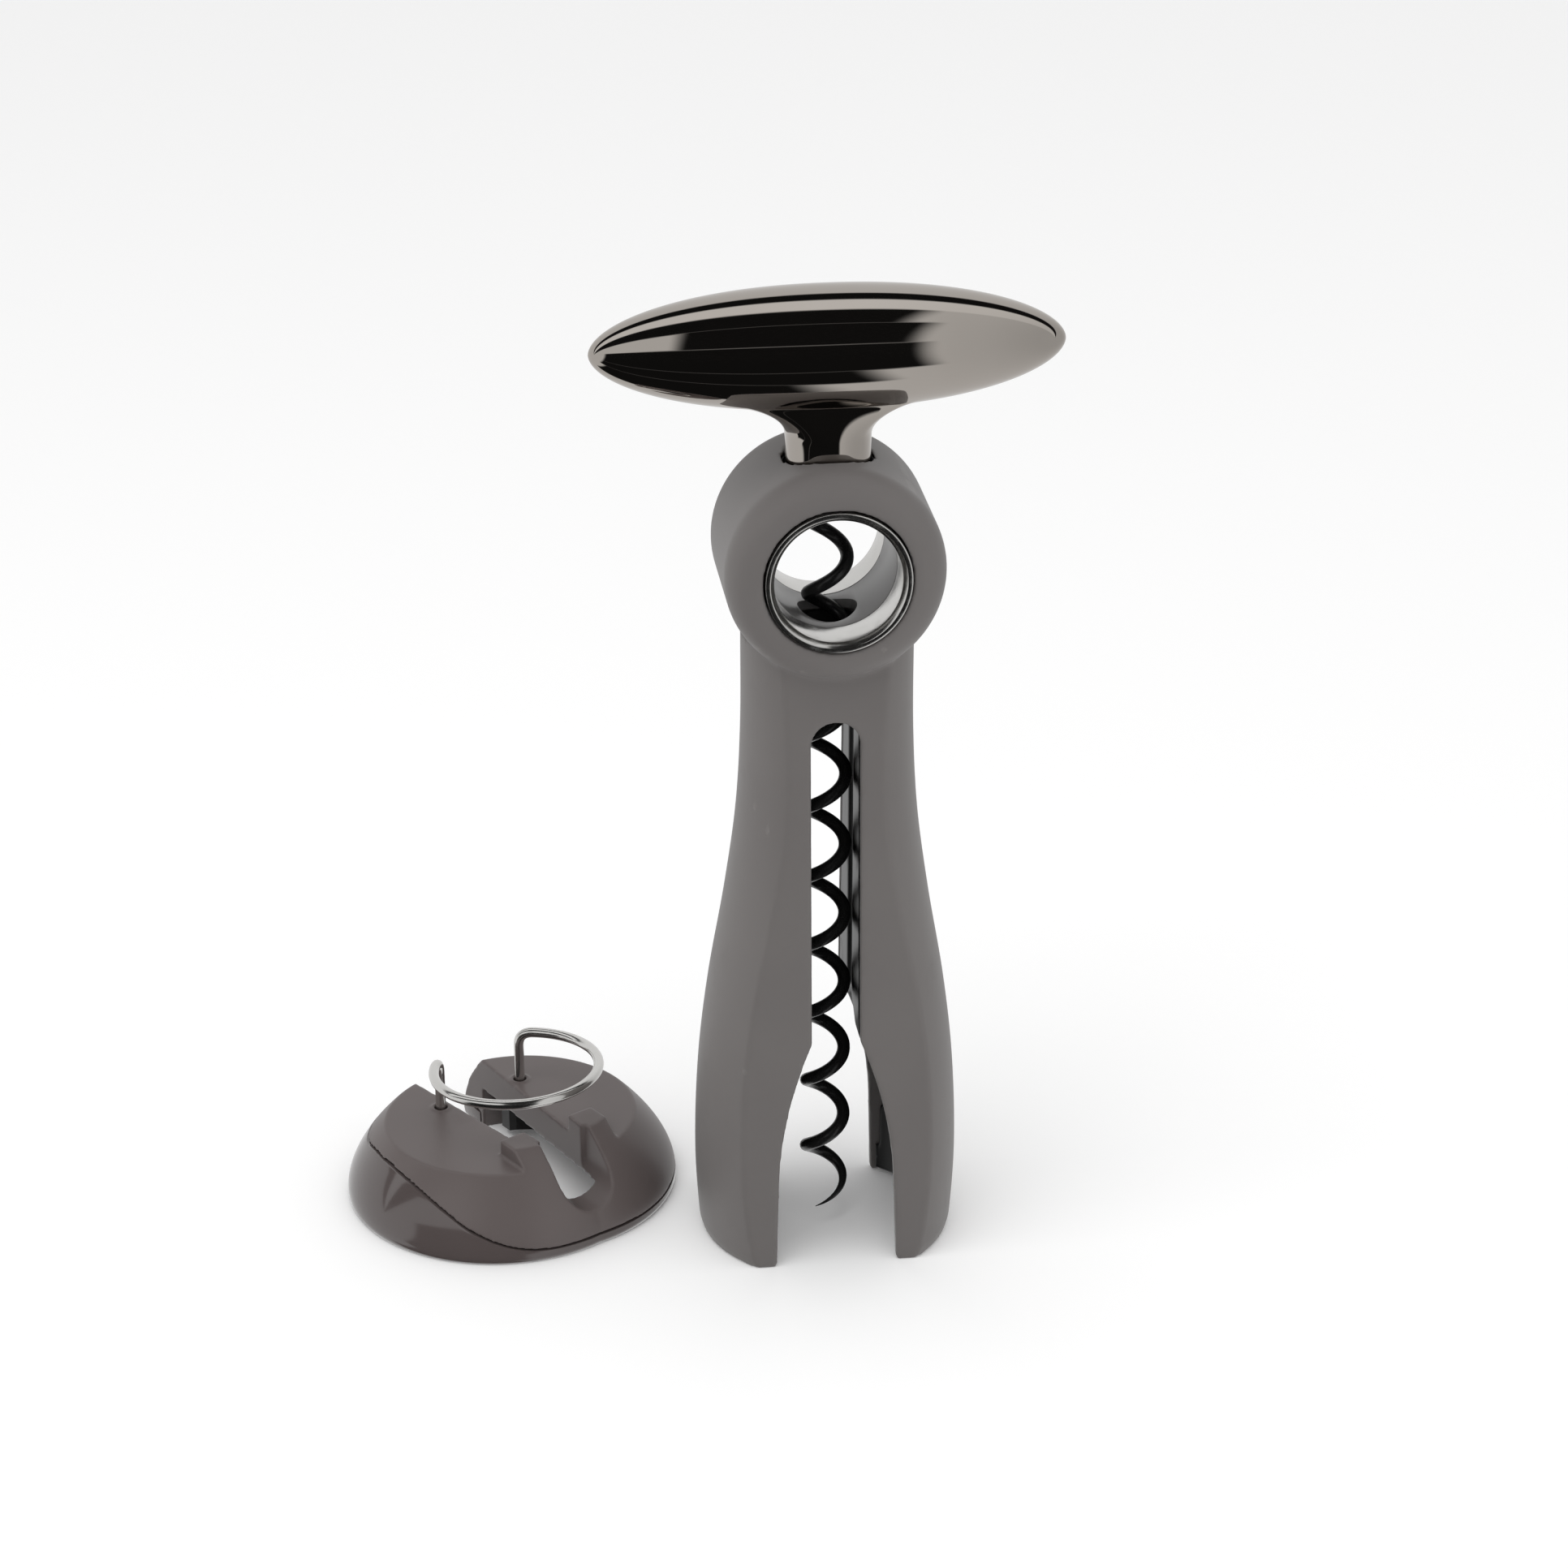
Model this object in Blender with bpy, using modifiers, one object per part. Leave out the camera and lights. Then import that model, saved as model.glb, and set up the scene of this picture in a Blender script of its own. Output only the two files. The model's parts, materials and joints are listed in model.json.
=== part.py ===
"""Lever-free T-handle corkscrew with its docking foil cutter, built in metres with +Z up."""
import math

import bmesh
import bpy
from mathutils import Matrix, Vector

MM = 0.001
GAP = 0.3 * MM
MERGE = 0.00001

# ---------------------------------------------------------------- where the two objects stand
AXIS_X = 23.49 * MM
AXIS_Y = -15.92 * MM
CUTTER_X = AXIS_X - 56.7 * MM
CUTTER_Y = AXIS_Y + 19.3 * MM
CUTTER_TURN = math.radians(31.0)

# ---------------------------------------------------------------- legs and neck of the body
LEG_STATIONS = (
    (0.0, 22.6), (1.2, 23.1), (16.0, 23.85), (34.0, 23.15), (50.0, 21.3),
    (68.0, 18.25), (84.0, 16.1), (100.0, 15.2), (118.0, 15.1),
)
SIDE_SEGMENTS = 36
FLAT_AT_FOOT = 17.5 * MM
FLAT_AT_NECK = 12.6 * MM
FLAT_NECK_Z = 100.0 * MM
SHELL_WALL = 2.2 * MM
SLOT_HALF = 4.35 * MM
SLOT_TOP = 105.0 * MM
SLOT_FLARE_Z = 44.0 * MM
GATE_HALF = 11.1 * MM
LEG_TOP_Z = 118.0 * MM
HOLLOW_TOP = SLOT_TOP - 1 * MM
GATE_DRAFT = 0.6 * MM
GATE_STRAIGHT_Z = 14.0 * MM
GATE_CURVE = 2.0
BOTTLE_R = 18.8 * MM
BOTTLE_TOP_Z = 26.0 * MM
SHOULDER_R = BOTTLE_R - 2.5 * MM
SHOULDER_Z = BOTTLE_TOP_Z + 6 * MM
BOTTLE_CONE_Z = 47.0 * MM
CONE_STEP = 5 * MM
LINER_BOTTOM_Z = 0.5 * MM
LEG_LEVELS = 11
GATE_STEPS = 6
ARCH_STEPS = 8
FAR = 60 * MM
BELOW = -5 * MM

# ---------------------------------------------------------------- head
HEAD_Z = 132.0 * MM
HEAD_R = 19.1 * MM
HEAD_HALF = 15.15 * MM
HEAD_ROUND = 5.2 * MM
BORE_WALL_R = 12.6 * MM
BORE_R = 11.0 * MM
RING_FRONT = 15.55 * MM
RING_BACK = 7.7 * MM
RING_EASE = 0.5 * MM
GUIDE_R = 6.6 * MM
GUIDE_LOW_Z = 104.4 * MM
GUIDE_HIGH_Z = 119.0 * MM
SLEEVE_TOP_HOLE_R = 5.6 * MM
NECK_R = 7.5 * MM
BUSH_WALL = 0.7 * MM
BUSH_TOP_Z = 148.4 * MM
NECK_HOLE_R = NECK_R + GAP + 0.1 * MM
HEAD_SEGMENTS = 36
HEAD_ROUND_STEPS = 4
SMALL_SEGMENTS = 20
PIN_SEGMENTS = 12
NECK_SEGMENTS = 28

# ---------------------------------------------------------------- handle
HANDLE_Z = 168.91 * MM
HANDLE_HALF = 40.58 * MM
HANDLE_R = 10.74 * MM
HANDLE_FULLNESS = 2.14
HANDLE_POINT = 0.54
NECK_BOTTOM_Z = 145.5 * MM
# height, half width along the handle and half depth of the neck's flare, in mm
FLARE_LEVELS = (
    (152.6, 7.4, 7.4), (154.8, 7.7, 7.5), (156.2, 8.8, 7.5), (157.4, 10.8, 7.2),
    (158.4, 13.0, 6.5), (159.4, 15.4, 5.4), (160.6, 17.2, 3.8), (164.0, 15.0, 3.0),
)
HUB_R = 4.6 * MM
HUB_BOTTOM_Z = 148.4 * MM
HUB_TOP_Z = 159.0 * MM
HANDLE_STEPS = 19
HANDLE_SEGMENTS = 28

# ---------------------------------------------------------------- worm
WORM_OUTER_R = 4.58 * MM
WIRE_R = 1.18 * MM
WORM_PITCH = 13.67 * MM
WORM_PHASE_Z = 131.4 * MM
WORM_TIP_Z = 3.6 * MM
WORM_TOP_Z = 142.0 * MM
SHANK_Z = 148.0 * MM
SHANK_END_Z = HUB_TOP_Z - 2 * MM
WORM_HOLE_R = 5.2 * MM
TIP_SHARE = 0.12
TIP_STEPS = 7
WORM_STEPS = 12
RISE_STEPS = 8
RISE_TURN = 0.6

# ---------------------------------------------------------------- foil cutter
DOME_R = 28.8 * MM
DOME_CURVE = 1.7
DOME_FOOT_EASE = 0.6 * MM
DOME_WIDEST_Z = 2.0 * MM
SEAT_R = 21.4 * MM
SEAT_Z = 14.7 * MM
HORN_Z = 17.8 * MM
JAW_SHIFT = 2.4 * MM
JAW_SLOT_HALF = 5.0 * MM
JAW_SLOT_HALF_BACK = 7.4 * MM
JAW_SLOT_BACK_Y = 20.0 * MM
SLOT_CORNER = 1.2 * MM
BRIDGE_Y = -20.5 * MM
NOTCH_BACK_Y = -16.5 * MM
NOTCH_Z = 6.6 * MM
NOTCH_HALF = 5.4 * MM
HORN_HALF = 10.3 * MM
HORN_BACK_Y = -11.5 * MM
BAND_IN_R = 22.6 * MM
BAND_OUT_R = 34.0 * MM
# angle from the notch in degrees and height of the groove in mm, for each jaw
GROOVE_LEFT = (
    (0.0, 2.2), (20.0, 2.4), (32.0, 3.5), (45.0, 5.9), (57.0, 8.6),
    (72.0, 10.9), (90.0, 12.0), (110.0, 11.7), (125.0, 10.6), (180.0, 9.8),
)
GROOVE_RIGHT = ((0.0, 1.9), (30.0, 1.9), (60.0, 2.2), (180.0, 2.6))
CUP_R = 21.2 * MM
CUP_TOP = 8.4 * MM
WIRE_LOOP_R = 15.3 * MM
WIRE_LOOP_Y = -2.4 * MM
WIRE_LOOP_Z = 25.3 * MM
WIRE_TILT = 0.06
SPRING_R = 0.95 * MM
LEG_ANGLE = math.radians(54.0)
SPRING_BOTTOM_Z = 11.6 * MM
SPRING_FOOT_X = WIRE_LOOP_R * math.cos(LEG_ANGLE)
SPRING_FOOT_Y = WIRE_LOOP_Y + WIRE_LOOP_R * math.sin(LEG_ANGLE)
BEND_R = 2.0 * MM
BEND_LEAD = 0.06
SINK_DEPTH = 0.5 * MM
SINK_R = 2.2 * MM
WHEEL_R = 3.4 * MM
WHEEL_HALF = 0.4 * MM
WHEEL_Z = 5.2 * MM
WHEEL_RING_R = 17.4 * MM
WHEEL_ANGLE = math.radians(38.0)
WHEEL_BEVEL = 1.2 * MM
WHEEL_EDGE = 0.03 * MM
AXLE_R = 0.8 * MM
AXLE_LOW_Z = 2.0 * MM
AXLE_TOP_Z = 7.2 * MM
CARRIER_IN_R = 15.6 * MM
CARRIER_LOW_Z = 1.6 * MM
CARRIER_SIDE_X = 9.0 * MM
CARRIER_HALF_Y = 16.6 * MM
DOME_STEPS = 8
DOME_SEGMENTS = 48
BAND_SEGMENTS = 45
CUP_SEGMENTS = 38
LOOP_STEPS = 28
HOLE_SEGMENTS = 16
WHEEL_ROOM_SEGMENTS = 24


def clear_scene():
    for obj in list(bpy.data.objects):
        bpy.data.objects.remove(obj, do_unlink=True)


def new_collection(name):
    group = bpy.data.collections.new(name)
    bpy.context.scene.collection.children.link(group)
    return group


def new_material(name, colour, roughness, metallic=0.0, coat=0.0):
    mat = bpy.data.materials.new(name)
    mat.use_nodes = True
    shader = mat.node_tree.nodes["Principled BSDF"]
    shader.inputs["Base Color"].default_value = (*colour, 1.0)
    shader.inputs["Roughness"].default_value = roughness
    shader.inputs["Metallic"].default_value = metallic
    shader.inputs["Coat Weight"].default_value = coat
    return mat


def new_frame(name, position, turn, parent=None):
    """Empty that carries pieces; its position is in the frame of its parent."""
    empty = bpy.data.objects.new(name, None)
    bpy.context.scene.collection.objects.link(empty)
    empty.location = position
    empty.rotation_euler = (0, 0, turn)
    empty.parent = parent
    return empty


def add_object(name, bm, group, smooth=True):
    bmesh.ops.remove_doubles(bm, verts=bm.verts, dist=MERGE)
    bmesh.ops.recalc_face_normals(bm, faces=bm.faces)
    mesh = bpy.data.meshes.new(name)
    bm.to_mesh(mesh)
    bm.free()
    for face in mesh.polygons:
        face.use_smooth = smooth
    obj = bpy.data.objects.new(name, mesh)
    group.objects.link(obj)
    return obj


def turned(name, profile, group, segments, closed=False):
    """Solid of revolution about local Z from (radius, height) points, outer side downwards."""
    mesh = bpy.data.meshes.new(name)
    count = len(profile)
    edges = [(i, i + 1) for i in range(count - 1)]
    if closed:
        edges.append((count - 1, 0))
    mesh.from_pydata([(r, 0.0, z) for r, z in profile], edges, [])
    obj = bpy.data.objects.new(name, mesh)
    group.objects.link(obj)
    screw = obj.modifiers.new("turn", "SCREW")
    screw.axis = "Z"
    screw.angle = math.tau
    screw.steps = segments
    screw.render_steps = segments
    screw.use_merge_vertices = True
    screw.merge_threshold = MERGE
    screw.use_normal_calculate = False
    screw.use_smooth_shade = True
    return obj


def tube_profile(outer, inner, z0, z1):
    """Closed outline of a tube wall."""
    return [(outer, z1), (outer, z0), (inner, z0), (inner, z1)]


def disc_profile(radius, half, rounding, steps):
    """Open outline of a disc with rounded rims, from the top centre to the bottom centre."""
    points = [(0.0, half)]
    for i in range(steps + 1):
        a = math.pi / 2 * i / steps
        across = rounding * math.sin(a)
        points.append((radius - rounding + across, half - rounding + rounding * math.cos(a)))
    for i in range(steps + 1):
        a = math.pi / 2 * i / steps
        across = rounding * math.cos(a)
        points.append((radius - rounding + across, rounding - half - rounding * math.sin(a)))
    points.append((0.0, -half))
    return points


def box_bm(x0, x1, y0, y1, z0, z1):
    bm = bmesh.new()
    bmesh.ops.create_cube(bm, size=1.0)
    bmesh.ops.scale(bm, vec=(x1 - x0, y1 - y0, z1 - z0), verts=bm.verts)
    bmesh.ops.translate(bm, vec=((x0 + x1) / 2, (y0 + y1) / 2, (z0 + z1) / 2), verts=bm.verts)
    return bm


def cylinder_bm(radius, z0, z1, segments=32, x=0.0, y=0.0, top_radius=None):
    bm = bmesh.new()
    bmesh.ops.create_cone(
        bm, cap_ends=True, cap_tris=False, segments=segments,
        radius1=radius, radius2=radius if top_radius is None else top_radius, depth=z1 - z0,
    )
    bmesh.ops.translate(bm, vec=(x, y, (z0 + z1) / 2), verts=bm.verts)
    return bm


def prism_bm(outline, y0, y1):
    """Solid between two Y planes from an (x, z) outline."""
    bm = bmesh.new()
    face = bm.faces.new([bm.verts.new((x, y0, z)) for x, z in outline])
    grown = bmesh.ops.extrude_face_region(bm, geom=[face])
    moved = [item for item in grown["geom"] if isinstance(item, bmesh.types.BMVert)]
    bmesh.ops.translate(bm, vec=(0, y1 - y0, 0), verts=moved)
    return bm


def slab_bm(outline, z0, z1):
    """Solid between two Z planes from an (x, y) outline."""
    bm = prism_bm([(x, -y) for x, y in outline], z0, z1)
    bm.transform(Matrix.Rotation(math.radians(90), 4, "X"))
    return bm


def add_tool(tool, frame):
    tool.hide_render = True
    tool.display_type = "WIRE"
    tool.parent = frame
    return tool


def combine(target, tool, operation="DIFFERENCE"):
    mod = target.modifiers.new(operation.lower(), "BOOLEAN")
    mod.operation = operation
    mod.solver = "EXACT"
    mod.object = tool


def cut(target, frame, bm, operation="DIFFERENCE"):
    """Combine a target with a tool whose mesh is written in the frame's coordinates."""
    name = "tool_" + str(len(TOOLS.objects)).zfill(3)
    tool = add_tool(add_object(name, bm, TOOLS, smooth=False), frame)
    combine(target, tool, operation)
    return tool


def place(obj, mat, frame, position=(0, 0, 0)):
    obj.data.materials.append(mat)
    obj.parent = frame
    obj.location = position
    return obj


def ease_between(t):
    t = min(1.0, max(0.0, t))
    return t * t * (3 - 2 * t)


def eased_through(stations, at):
    """Value at a place along a list of (place, value) stations, without corners between them."""
    if at <= stations[0][0]:
        return stations[0][1]
    for i in range(len(stations) - 1):
        x0, y0 = stations[i]
        x1, y1 = stations[i + 1]
        if at <= x1:
            before = stations[max(i - 1, 0)]
            after = stations[min(i + 2, len(stations) - 1)]
            slope0 = (y1 - before[1]) / (x1 - before[0])
            slope1 = (after[1] - y0) / (after[0] - x0)
            t = (at - x0) / (x1 - x0)
            start = (1 + 2 * t) * (1 - t) ** 2 * y0 + t * (1 - t) ** 2 * slope0 * (x1 - x0)
            end = t * t * (3 - 2 * t) * y1 + t * t * (t - 1) * slope1 * (x1 - x0)
            return start + end
    return stations[-1][1]


# ---------------------------------------------------------------- body
def leg_radius(z):
    """Outer radius of the body at a height."""
    return eased_through(LEG_STATIONS, z / MM) * MM


def leg_profile(z0, z1, inset, levels):
    points = [(0.0, z1)]
    for i in range(levels + 1):
        z = z1 + (z0 - z1) * i / levels
        points.append((leg_radius(z) - inset, z))
    points.append((0.0, z0))
    return points


def trim_flats(target, frame, inset):
    """Cut the leaning front and rear flats."""
    lean = math.atan2(FLAT_AT_FOOT - FLAT_AT_NECK, FLAT_NECK_Z)
    for side in (0.0, math.pi):
        slab = box_bm(-FAR, FAR, 0.0, FAR, -FAR, 3 * FAR)
        slab.transform(Matrix.Rotation(lean, 4, "X"))
        slab.transform(Matrix.Translation((0, FLAT_AT_FOOT - inset, 0)))
        slab.transform(Matrix.Rotation(side, 4, "Z"))
        cut(target, frame, slab)


def gate_outline():
    """Front view of the slot and of the gate it opens into between the legs."""
    right = [(GATE_HALF, BELOW), (GATE_HALF - GATE_DRAFT, GATE_STRAIGHT_Z)]
    for i in range(1, GATE_STEPS + 1):
        t = i / GATE_STEPS
        z = GATE_STRAIGHT_Z + (SLOT_FLARE_Z - GATE_STRAIGHT_Z) * t
        wide = GATE_HALF - GATE_DRAFT - SLOT_HALF
        right.append((SLOT_HALF + wide * (1 - t ** GATE_CURVE), z))
    arch = []
    for i in range(ARCH_STEPS + 1):
        a = math.pi * i / ARCH_STEPS
        arch.append((SLOT_HALF * math.cos(a), SLOT_TOP - SLOT_HALF + SLOT_HALF * math.sin(a)))
    left = [(-x, z) for x, z in reversed(right)]
    return right + arch + left


def build_body(frame, mats):
    shell = turned("body_shell", leg_profile(0.0, LEG_TOP_Z, 0.0, LEG_LEVELS), PARTS, SIDE_SEGMENTS)
    place(shell, mats["body"], frame)
    trim_flats(shell, frame, 0.0)
    hollow_profile = leg_profile(-2 * MM, HOLLOW_TOP, SHELL_WALL, LEG_LEVELS)
    hollow = turned("tool_leg_hollow", hollow_profile, TOOLS, SIDE_SEGMENTS)
    add_tool(hollow, frame)
    trim_flats(hollow, frame, SHELL_WALL)
    combine(shell, hollow)
    cut(shell, frame, prism_bm(gate_outline(), -FAR / 2, FAR / 2))
    head_profile = disc_profile(HEAD_R, HEAD_HALF, HEAD_ROUND, HEAD_ROUND_STEPS)
    head = turned("tool_head", head_profile, TOOLS, HEAD_SEGMENTS)
    add_tool(head, frame)
    head.location = (0, 0, HEAD_Z)
    head.rotation_euler = (math.radians(90), 0, 0)
    combine(shell, head, "UNION")
    bore = cylinder_bm(BORE_WALL_R + GAP, -FAR / 2, FAR / 2, HEAD_SEGMENTS)
    bore.transform(Matrix.Rotation(math.pi / HEAD_SEGMENTS, 4, "Z"))
    bore.transform(Matrix.Rotation(math.radians(90), 4, "X"))
    bore.transform(Matrix.Translation((0, 0, HEAD_Z)))
    cut(shell, frame, bore)
    guide_hole = cylinder_bm(GUIDE_R + GAP, HOLLOW_TOP + BELOW, HEAD_Z - BORE_R + GAP, SMALL_SEGMENTS)
    cut(shell, frame, guide_hole)
    bush_hole_r = NECK_R + 2 * GAP + BUSH_WALL
    pocket_top = BUSH_TOP_Z + GAP
    cut(shell, frame, cylinder_bm(bush_hole_r, HEAD_Z + BORE_R - GAP, pocket_top, NECK_SEGMENTS))
    cut(shell, frame, cylinder_bm(NECK_HOLE_R, pocket_top - GAP, HANDLE_Z, NECK_SEGMENTS))


def ring_profile():
    """Bore ring standing on its inner end, with both rims of the visible end eased."""
    return [
        (BORE_WALL_R - RING_EASE, RING_FRONT), (BORE_WALL_R, RING_FRONT - RING_EASE),
        (BORE_WALL_R, RING_BACK), (BORE_R, RING_BACK),
        (BORE_R, RING_FRONT - RING_EASE), (BORE_R + RING_EASE, RING_FRONT),
    ]


def build_bore_parts(frame, mats):
    for name, side in (("front_bore_ring", -1), ("rear_bore_ring", 1)):
        ring = turned(name, ring_profile(), PARTS, HEAD_SEGMENTS, True)
        place(ring, mats["steel"], frame, (0, 0, HEAD_Z))
        ring.rotation_euler = (math.radians(90 if side < 0 else -90), 0, 0)
    half = RING_BACK - GAP
    sleeve_profile = tube_profile(BORE_WALL_R, BORE_R, -half, half)
    sleeve = turned("bore_sleeve", sleeve_profile, PARTS, HEAD_SEGMENTS, True)
    place(sleeve, mats["sleeve"], frame, (0, 0, HEAD_Z))
    sleeve.rotation_euler = (math.radians(90), 0, 0)
    cut(sleeve, frame, cylinder_bm(WORM_HOLE_R, HEAD_Z - HEAD_R, HEAD_Z, SMALL_SEGMENTS))
    cut(sleeve, frame, cylinder_bm(SLEEVE_TOP_HOLE_R, HEAD_Z, HEAD_Z + HEAD_R, SMALL_SEGMENTS))
    guide_profile = tube_profile(GUIDE_R, WORM_HOLE_R, GUIDE_LOW_Z, GUIDE_HIGH_Z)
    guide = turned("worm_guide", guide_profile, PARTS, SMALL_SEGMENTS, True)
    place(guide, mats["liner"], frame)


def build_liners(frame, mats):
    inset = SHELL_WALL + GAP
    cavity = [
        (0.0, BOTTLE_CONE_Z), (WORM_HOLE_R, BOTTLE_CONE_Z),
        (WORM_HOLE_R + CONE_STEP, BOTTLE_CONE_Z - CONE_STEP), (SHOULDER_R, SHOULDER_Z),
        (BOTTLE_R, BOTTLE_TOP_Z), (BOTTLE_R, BELOW), (0.0, BELOW),
    ]
    for name, side in (("left_leg_liner", -1), ("right_leg_liner", 1)):
        profile = leg_profile(LINER_BOTTOM_Z, HOLLOW_TOP - GAP, inset, LEG_LEVELS)
        liner = turned(name, profile, PARTS, SIDE_SEGMENTS)
        place(liner, mats["liner"], frame)
        trim_flats(liner, frame, inset)
        keep = box_bm(0.0, side * FAR, -FAR, FAR, -FAR, 3 * FAR)
        cut(liner, frame, keep, "INTERSECT")
        cut(liner, frame, prism_bm(gate_outline(), -FAR / 2, FAR / 2))
        bottle = add_tool(turned("tool_bottle_" + name, cavity, TOOLS, SIDE_SEGMENTS), frame)
        combine(liner, bottle)
        cut(liner, frame, cylinder_bm(WORM_HOLE_R, BOTTLE_CONE_Z - 2 * CONE_STEP, HEAD_Z, SMALL_SEGMENTS))


# ---------------------------------------------------------------- handle and worm
def handle_radius(t):
    return HANDLE_R * max(0.0, 1 - abs(t) ** HANDLE_FULLNESS) ** HANDLE_POINT


def flare_bm():
    """Closed loft of ellipses from the round neck into the underside of the grip."""
    flare = cylinder_bm(1.0, 0.0, 1.0, NECK_SEGMENTS)
    bmesh.ops.delete(flare, geom=[f for f in flare.faces if len(f.verts) > 4], context="FACES")
    bmesh.ops.subdivide_edges(
        flare, edges=[e for e in flare.edges if abs(e.verts[0].co.z - e.verts[1].co.z) > 0.5],
        cuts=len(FLARE_LEVELS) - 2,
    )
    for vert in flare.verts:
        level = round(vert.co.z * (len(FLARE_LEVELS) - 1))
        z, wide, deep = FLARE_LEVELS[level]
        vert.co = Vector((vert.co.x * wide * MM, vert.co.y * deep * MM, z * MM))
    bmesh.ops.holes_fill(flare, edges=[e for e in flare.edges if e.is_boundary], sides=0)
    return flare


def build_handle(frame, mats):
    points = []
    for i in range(HANDLE_STEPS + 1):
        t = math.cos(math.pi * i / HANDLE_STEPS)
        points.append((handle_radius(t), t * HANDLE_HALF))
    grip = turned("handle", points, PARTS, HANDLE_SEGMENTS)
    place(grip, mats["chrome"], frame, (0, 0, HANDLE_Z))
    grip.rotation_euler = (0, math.radians(90), 0)
    cut(grip, frame, flare_bm(), "UNION")
    neck_top = HANDLE_Z - HANDLE_R / 3
    cut(grip, frame, cylinder_bm(NECK_R, NECK_BOTTOM_Z, neck_top, NECK_SEGMENTS + 2), "UNION")
    cut(grip, frame, cylinder_bm(HUB_R + GAP, HEAD_Z, HUB_TOP_Z + GAP, SMALL_SEGMENTS))
    hub_profile = tube_profile(HUB_R, WIRE_R + GAP, HUB_BOTTOM_Z, HUB_TOP_Z)
    place(turned("worm_hub", hub_profile, PARTS, SMALL_SEGMENTS, True), mats["hub"], frame)
    bush_in = NECK_R + GAP
    bush_profile = tube_profile(bush_in + BUSH_WALL, bush_in, NECK_BOTTOM_Z + GAP, BUSH_TOP_Z)
    place(turned("neck_bush", bush_profile, PARTS, NECK_SEGMENTS, True), mats["liner"], frame)


def worm_point(z):
    """Centre of the wire at a height, with the right-hand lay of a worm driven clockwise."""
    turn = math.tau * (z - WORM_PHASE_Z) / WORM_PITCH
    radius = WORM_OUTER_R - WIRE_R
    return Vector((radius * math.cos(turn), radius * math.sin(turn), z))


def wire_object(name, points, radii, wire_r):
    """Round wire swept along a path, with capped ends."""
    curve = bpy.data.curves.new(name, "CURVE")
    curve.dimensions = "3D"
    curve.bevel_depth = wire_r
    curve.bevel_resolution = 2
    curve.use_fill_caps = True
    spline = curve.splines.new("POLY")
    spline.points.add(len(points) - 1)
    for item, co, radius in zip(spline.points, points, radii):
        item.co = (*co, 1.0)
        item.radius = radius
    source = bpy.data.objects.new(name + "_path", curve)
    TOOLS.objects.link(source)
    mesh = bpy.data.meshes.new_from_object(source)
    bpy.data.objects.remove(source, do_unlink=True)
    bm = bmesh.new()
    bm.from_mesh(mesh)
    return add_object(name, bm, PARTS)


def build_worm(frame, mats):
    points = []
    radii = []
    count = round((WORM_TOP_Z - WORM_TIP_Z) / WORM_PITCH * WORM_STEPS)
    for i in range(count + 1):
        z = WORM_TIP_Z + (WORM_TOP_Z - WORM_TIP_Z) * i / count
        points.append(worm_point(z))
        radii.append(min(1.0, TIP_SHARE + (1 - TIP_SHARE) * i / TIP_STEPS))
    for i in range(1, RISE_STEPS + 1):
        t = i / RISE_STEPS
        z = WORM_TOP_Z + (SHANK_Z - WORM_TOP_Z) * t
        on_helix = worm_point(WORM_TOP_Z + (SHANK_Z - WORM_TOP_Z) * t * RISE_TURN)
        pull = 1 - ease_between(t)
        points.append(Vector((on_helix.x * pull, on_helix.y * pull, z)))
        radii.append(1.0)
    points.append(Vector((0, 0, SHANK_END_Z)))
    radii.append(1.0)
    place(wire_object("worm", points, radii, WIRE_R), mats["worm"], frame)


# ---------------------------------------------------------------- foil cutter
def dome_profile():
    points = [(0.0, HORN_Z)]
    for i in range(DOME_STEPS + 1):
        z = HORN_Z + (DOME_WIDEST_Z - HORN_Z) * i / DOME_STEPS
        t = max(0.0, z - DOME_WIDEST_Z) / (SEAT_Z - DOME_WIDEST_Z)
        points.append((DOME_R - (DOME_R - SEAT_R) * t ** DOME_CURVE, z))
    points.append((DOME_R - DOME_FOOT_EASE, 0.0))
    points.append((0.0, 0.0))
    return points


def band_bm(side, grow):
    """Ring around the dome whose top edge follows the groove of one jaw."""
    bm = bmesh.new()
    inner = BAND_IN_R - grow
    corners = [(inner, BELOW), (inner, SEAT_Z), (BAND_OUT_R, SEAT_Z), (BAND_OUT_R, BELOW)]
    verts = [bm.verts.new((r, 0, z)) for r, z in corners]
    edges = [bm.edges.new((verts[i], verts[(i + 1) % 4])) for i in range(4)]
    bmesh.ops.spin(
        bm, geom=verts + edges, cent=(0, 0, 0), axis=(0, 0, 1), dvec=(0, 0, 0),
        angle=math.tau, steps=BAND_SEGMENTS, use_merge=True,
    )
    groove = GROOVE_LEFT if side < 0 else GROOVE_RIGHT
    for vert in bm.verts:
        if vert.co.z > 0:
            around = abs(math.degrees(math.atan2(vert.co.x, -vert.co.y)))
            vert.co.z = eased_through(groove, around) * MM + grow
    bmesh.ops.translate(bm, vec=(side * JAW_SHIFT, 0, 0), verts=bm.verts)
    return bm


def jaw_side_outline(side):
    """Plan outline that keeps one jaw: the seam at the bridge, then the widening slot wall."""
    slope = (JAW_SLOT_HALF_BACK - JAW_SLOT_HALF) / (JAW_SLOT_BACK_Y - HORN_BACK_Y)
    front = JAW_SLOT_HALF + slope * (BRIDGE_Y - HORN_BACK_Y)
    back = JAW_SLOT_HALF + slope * (FAR - HORN_BACK_Y)
    points = [
        (GAP / 2, -FAR), (FAR, -FAR), (FAR, FAR), (back, FAR),
        (front, BRIDGE_Y + SLOT_CORNER), (front - SLOT_CORNER, BRIDGE_Y), (GAP / 2, BRIDGE_Y),
    ]
    if side < 0:
        points = [(-x, y) for x, y in reversed(points)]
    return points


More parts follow.
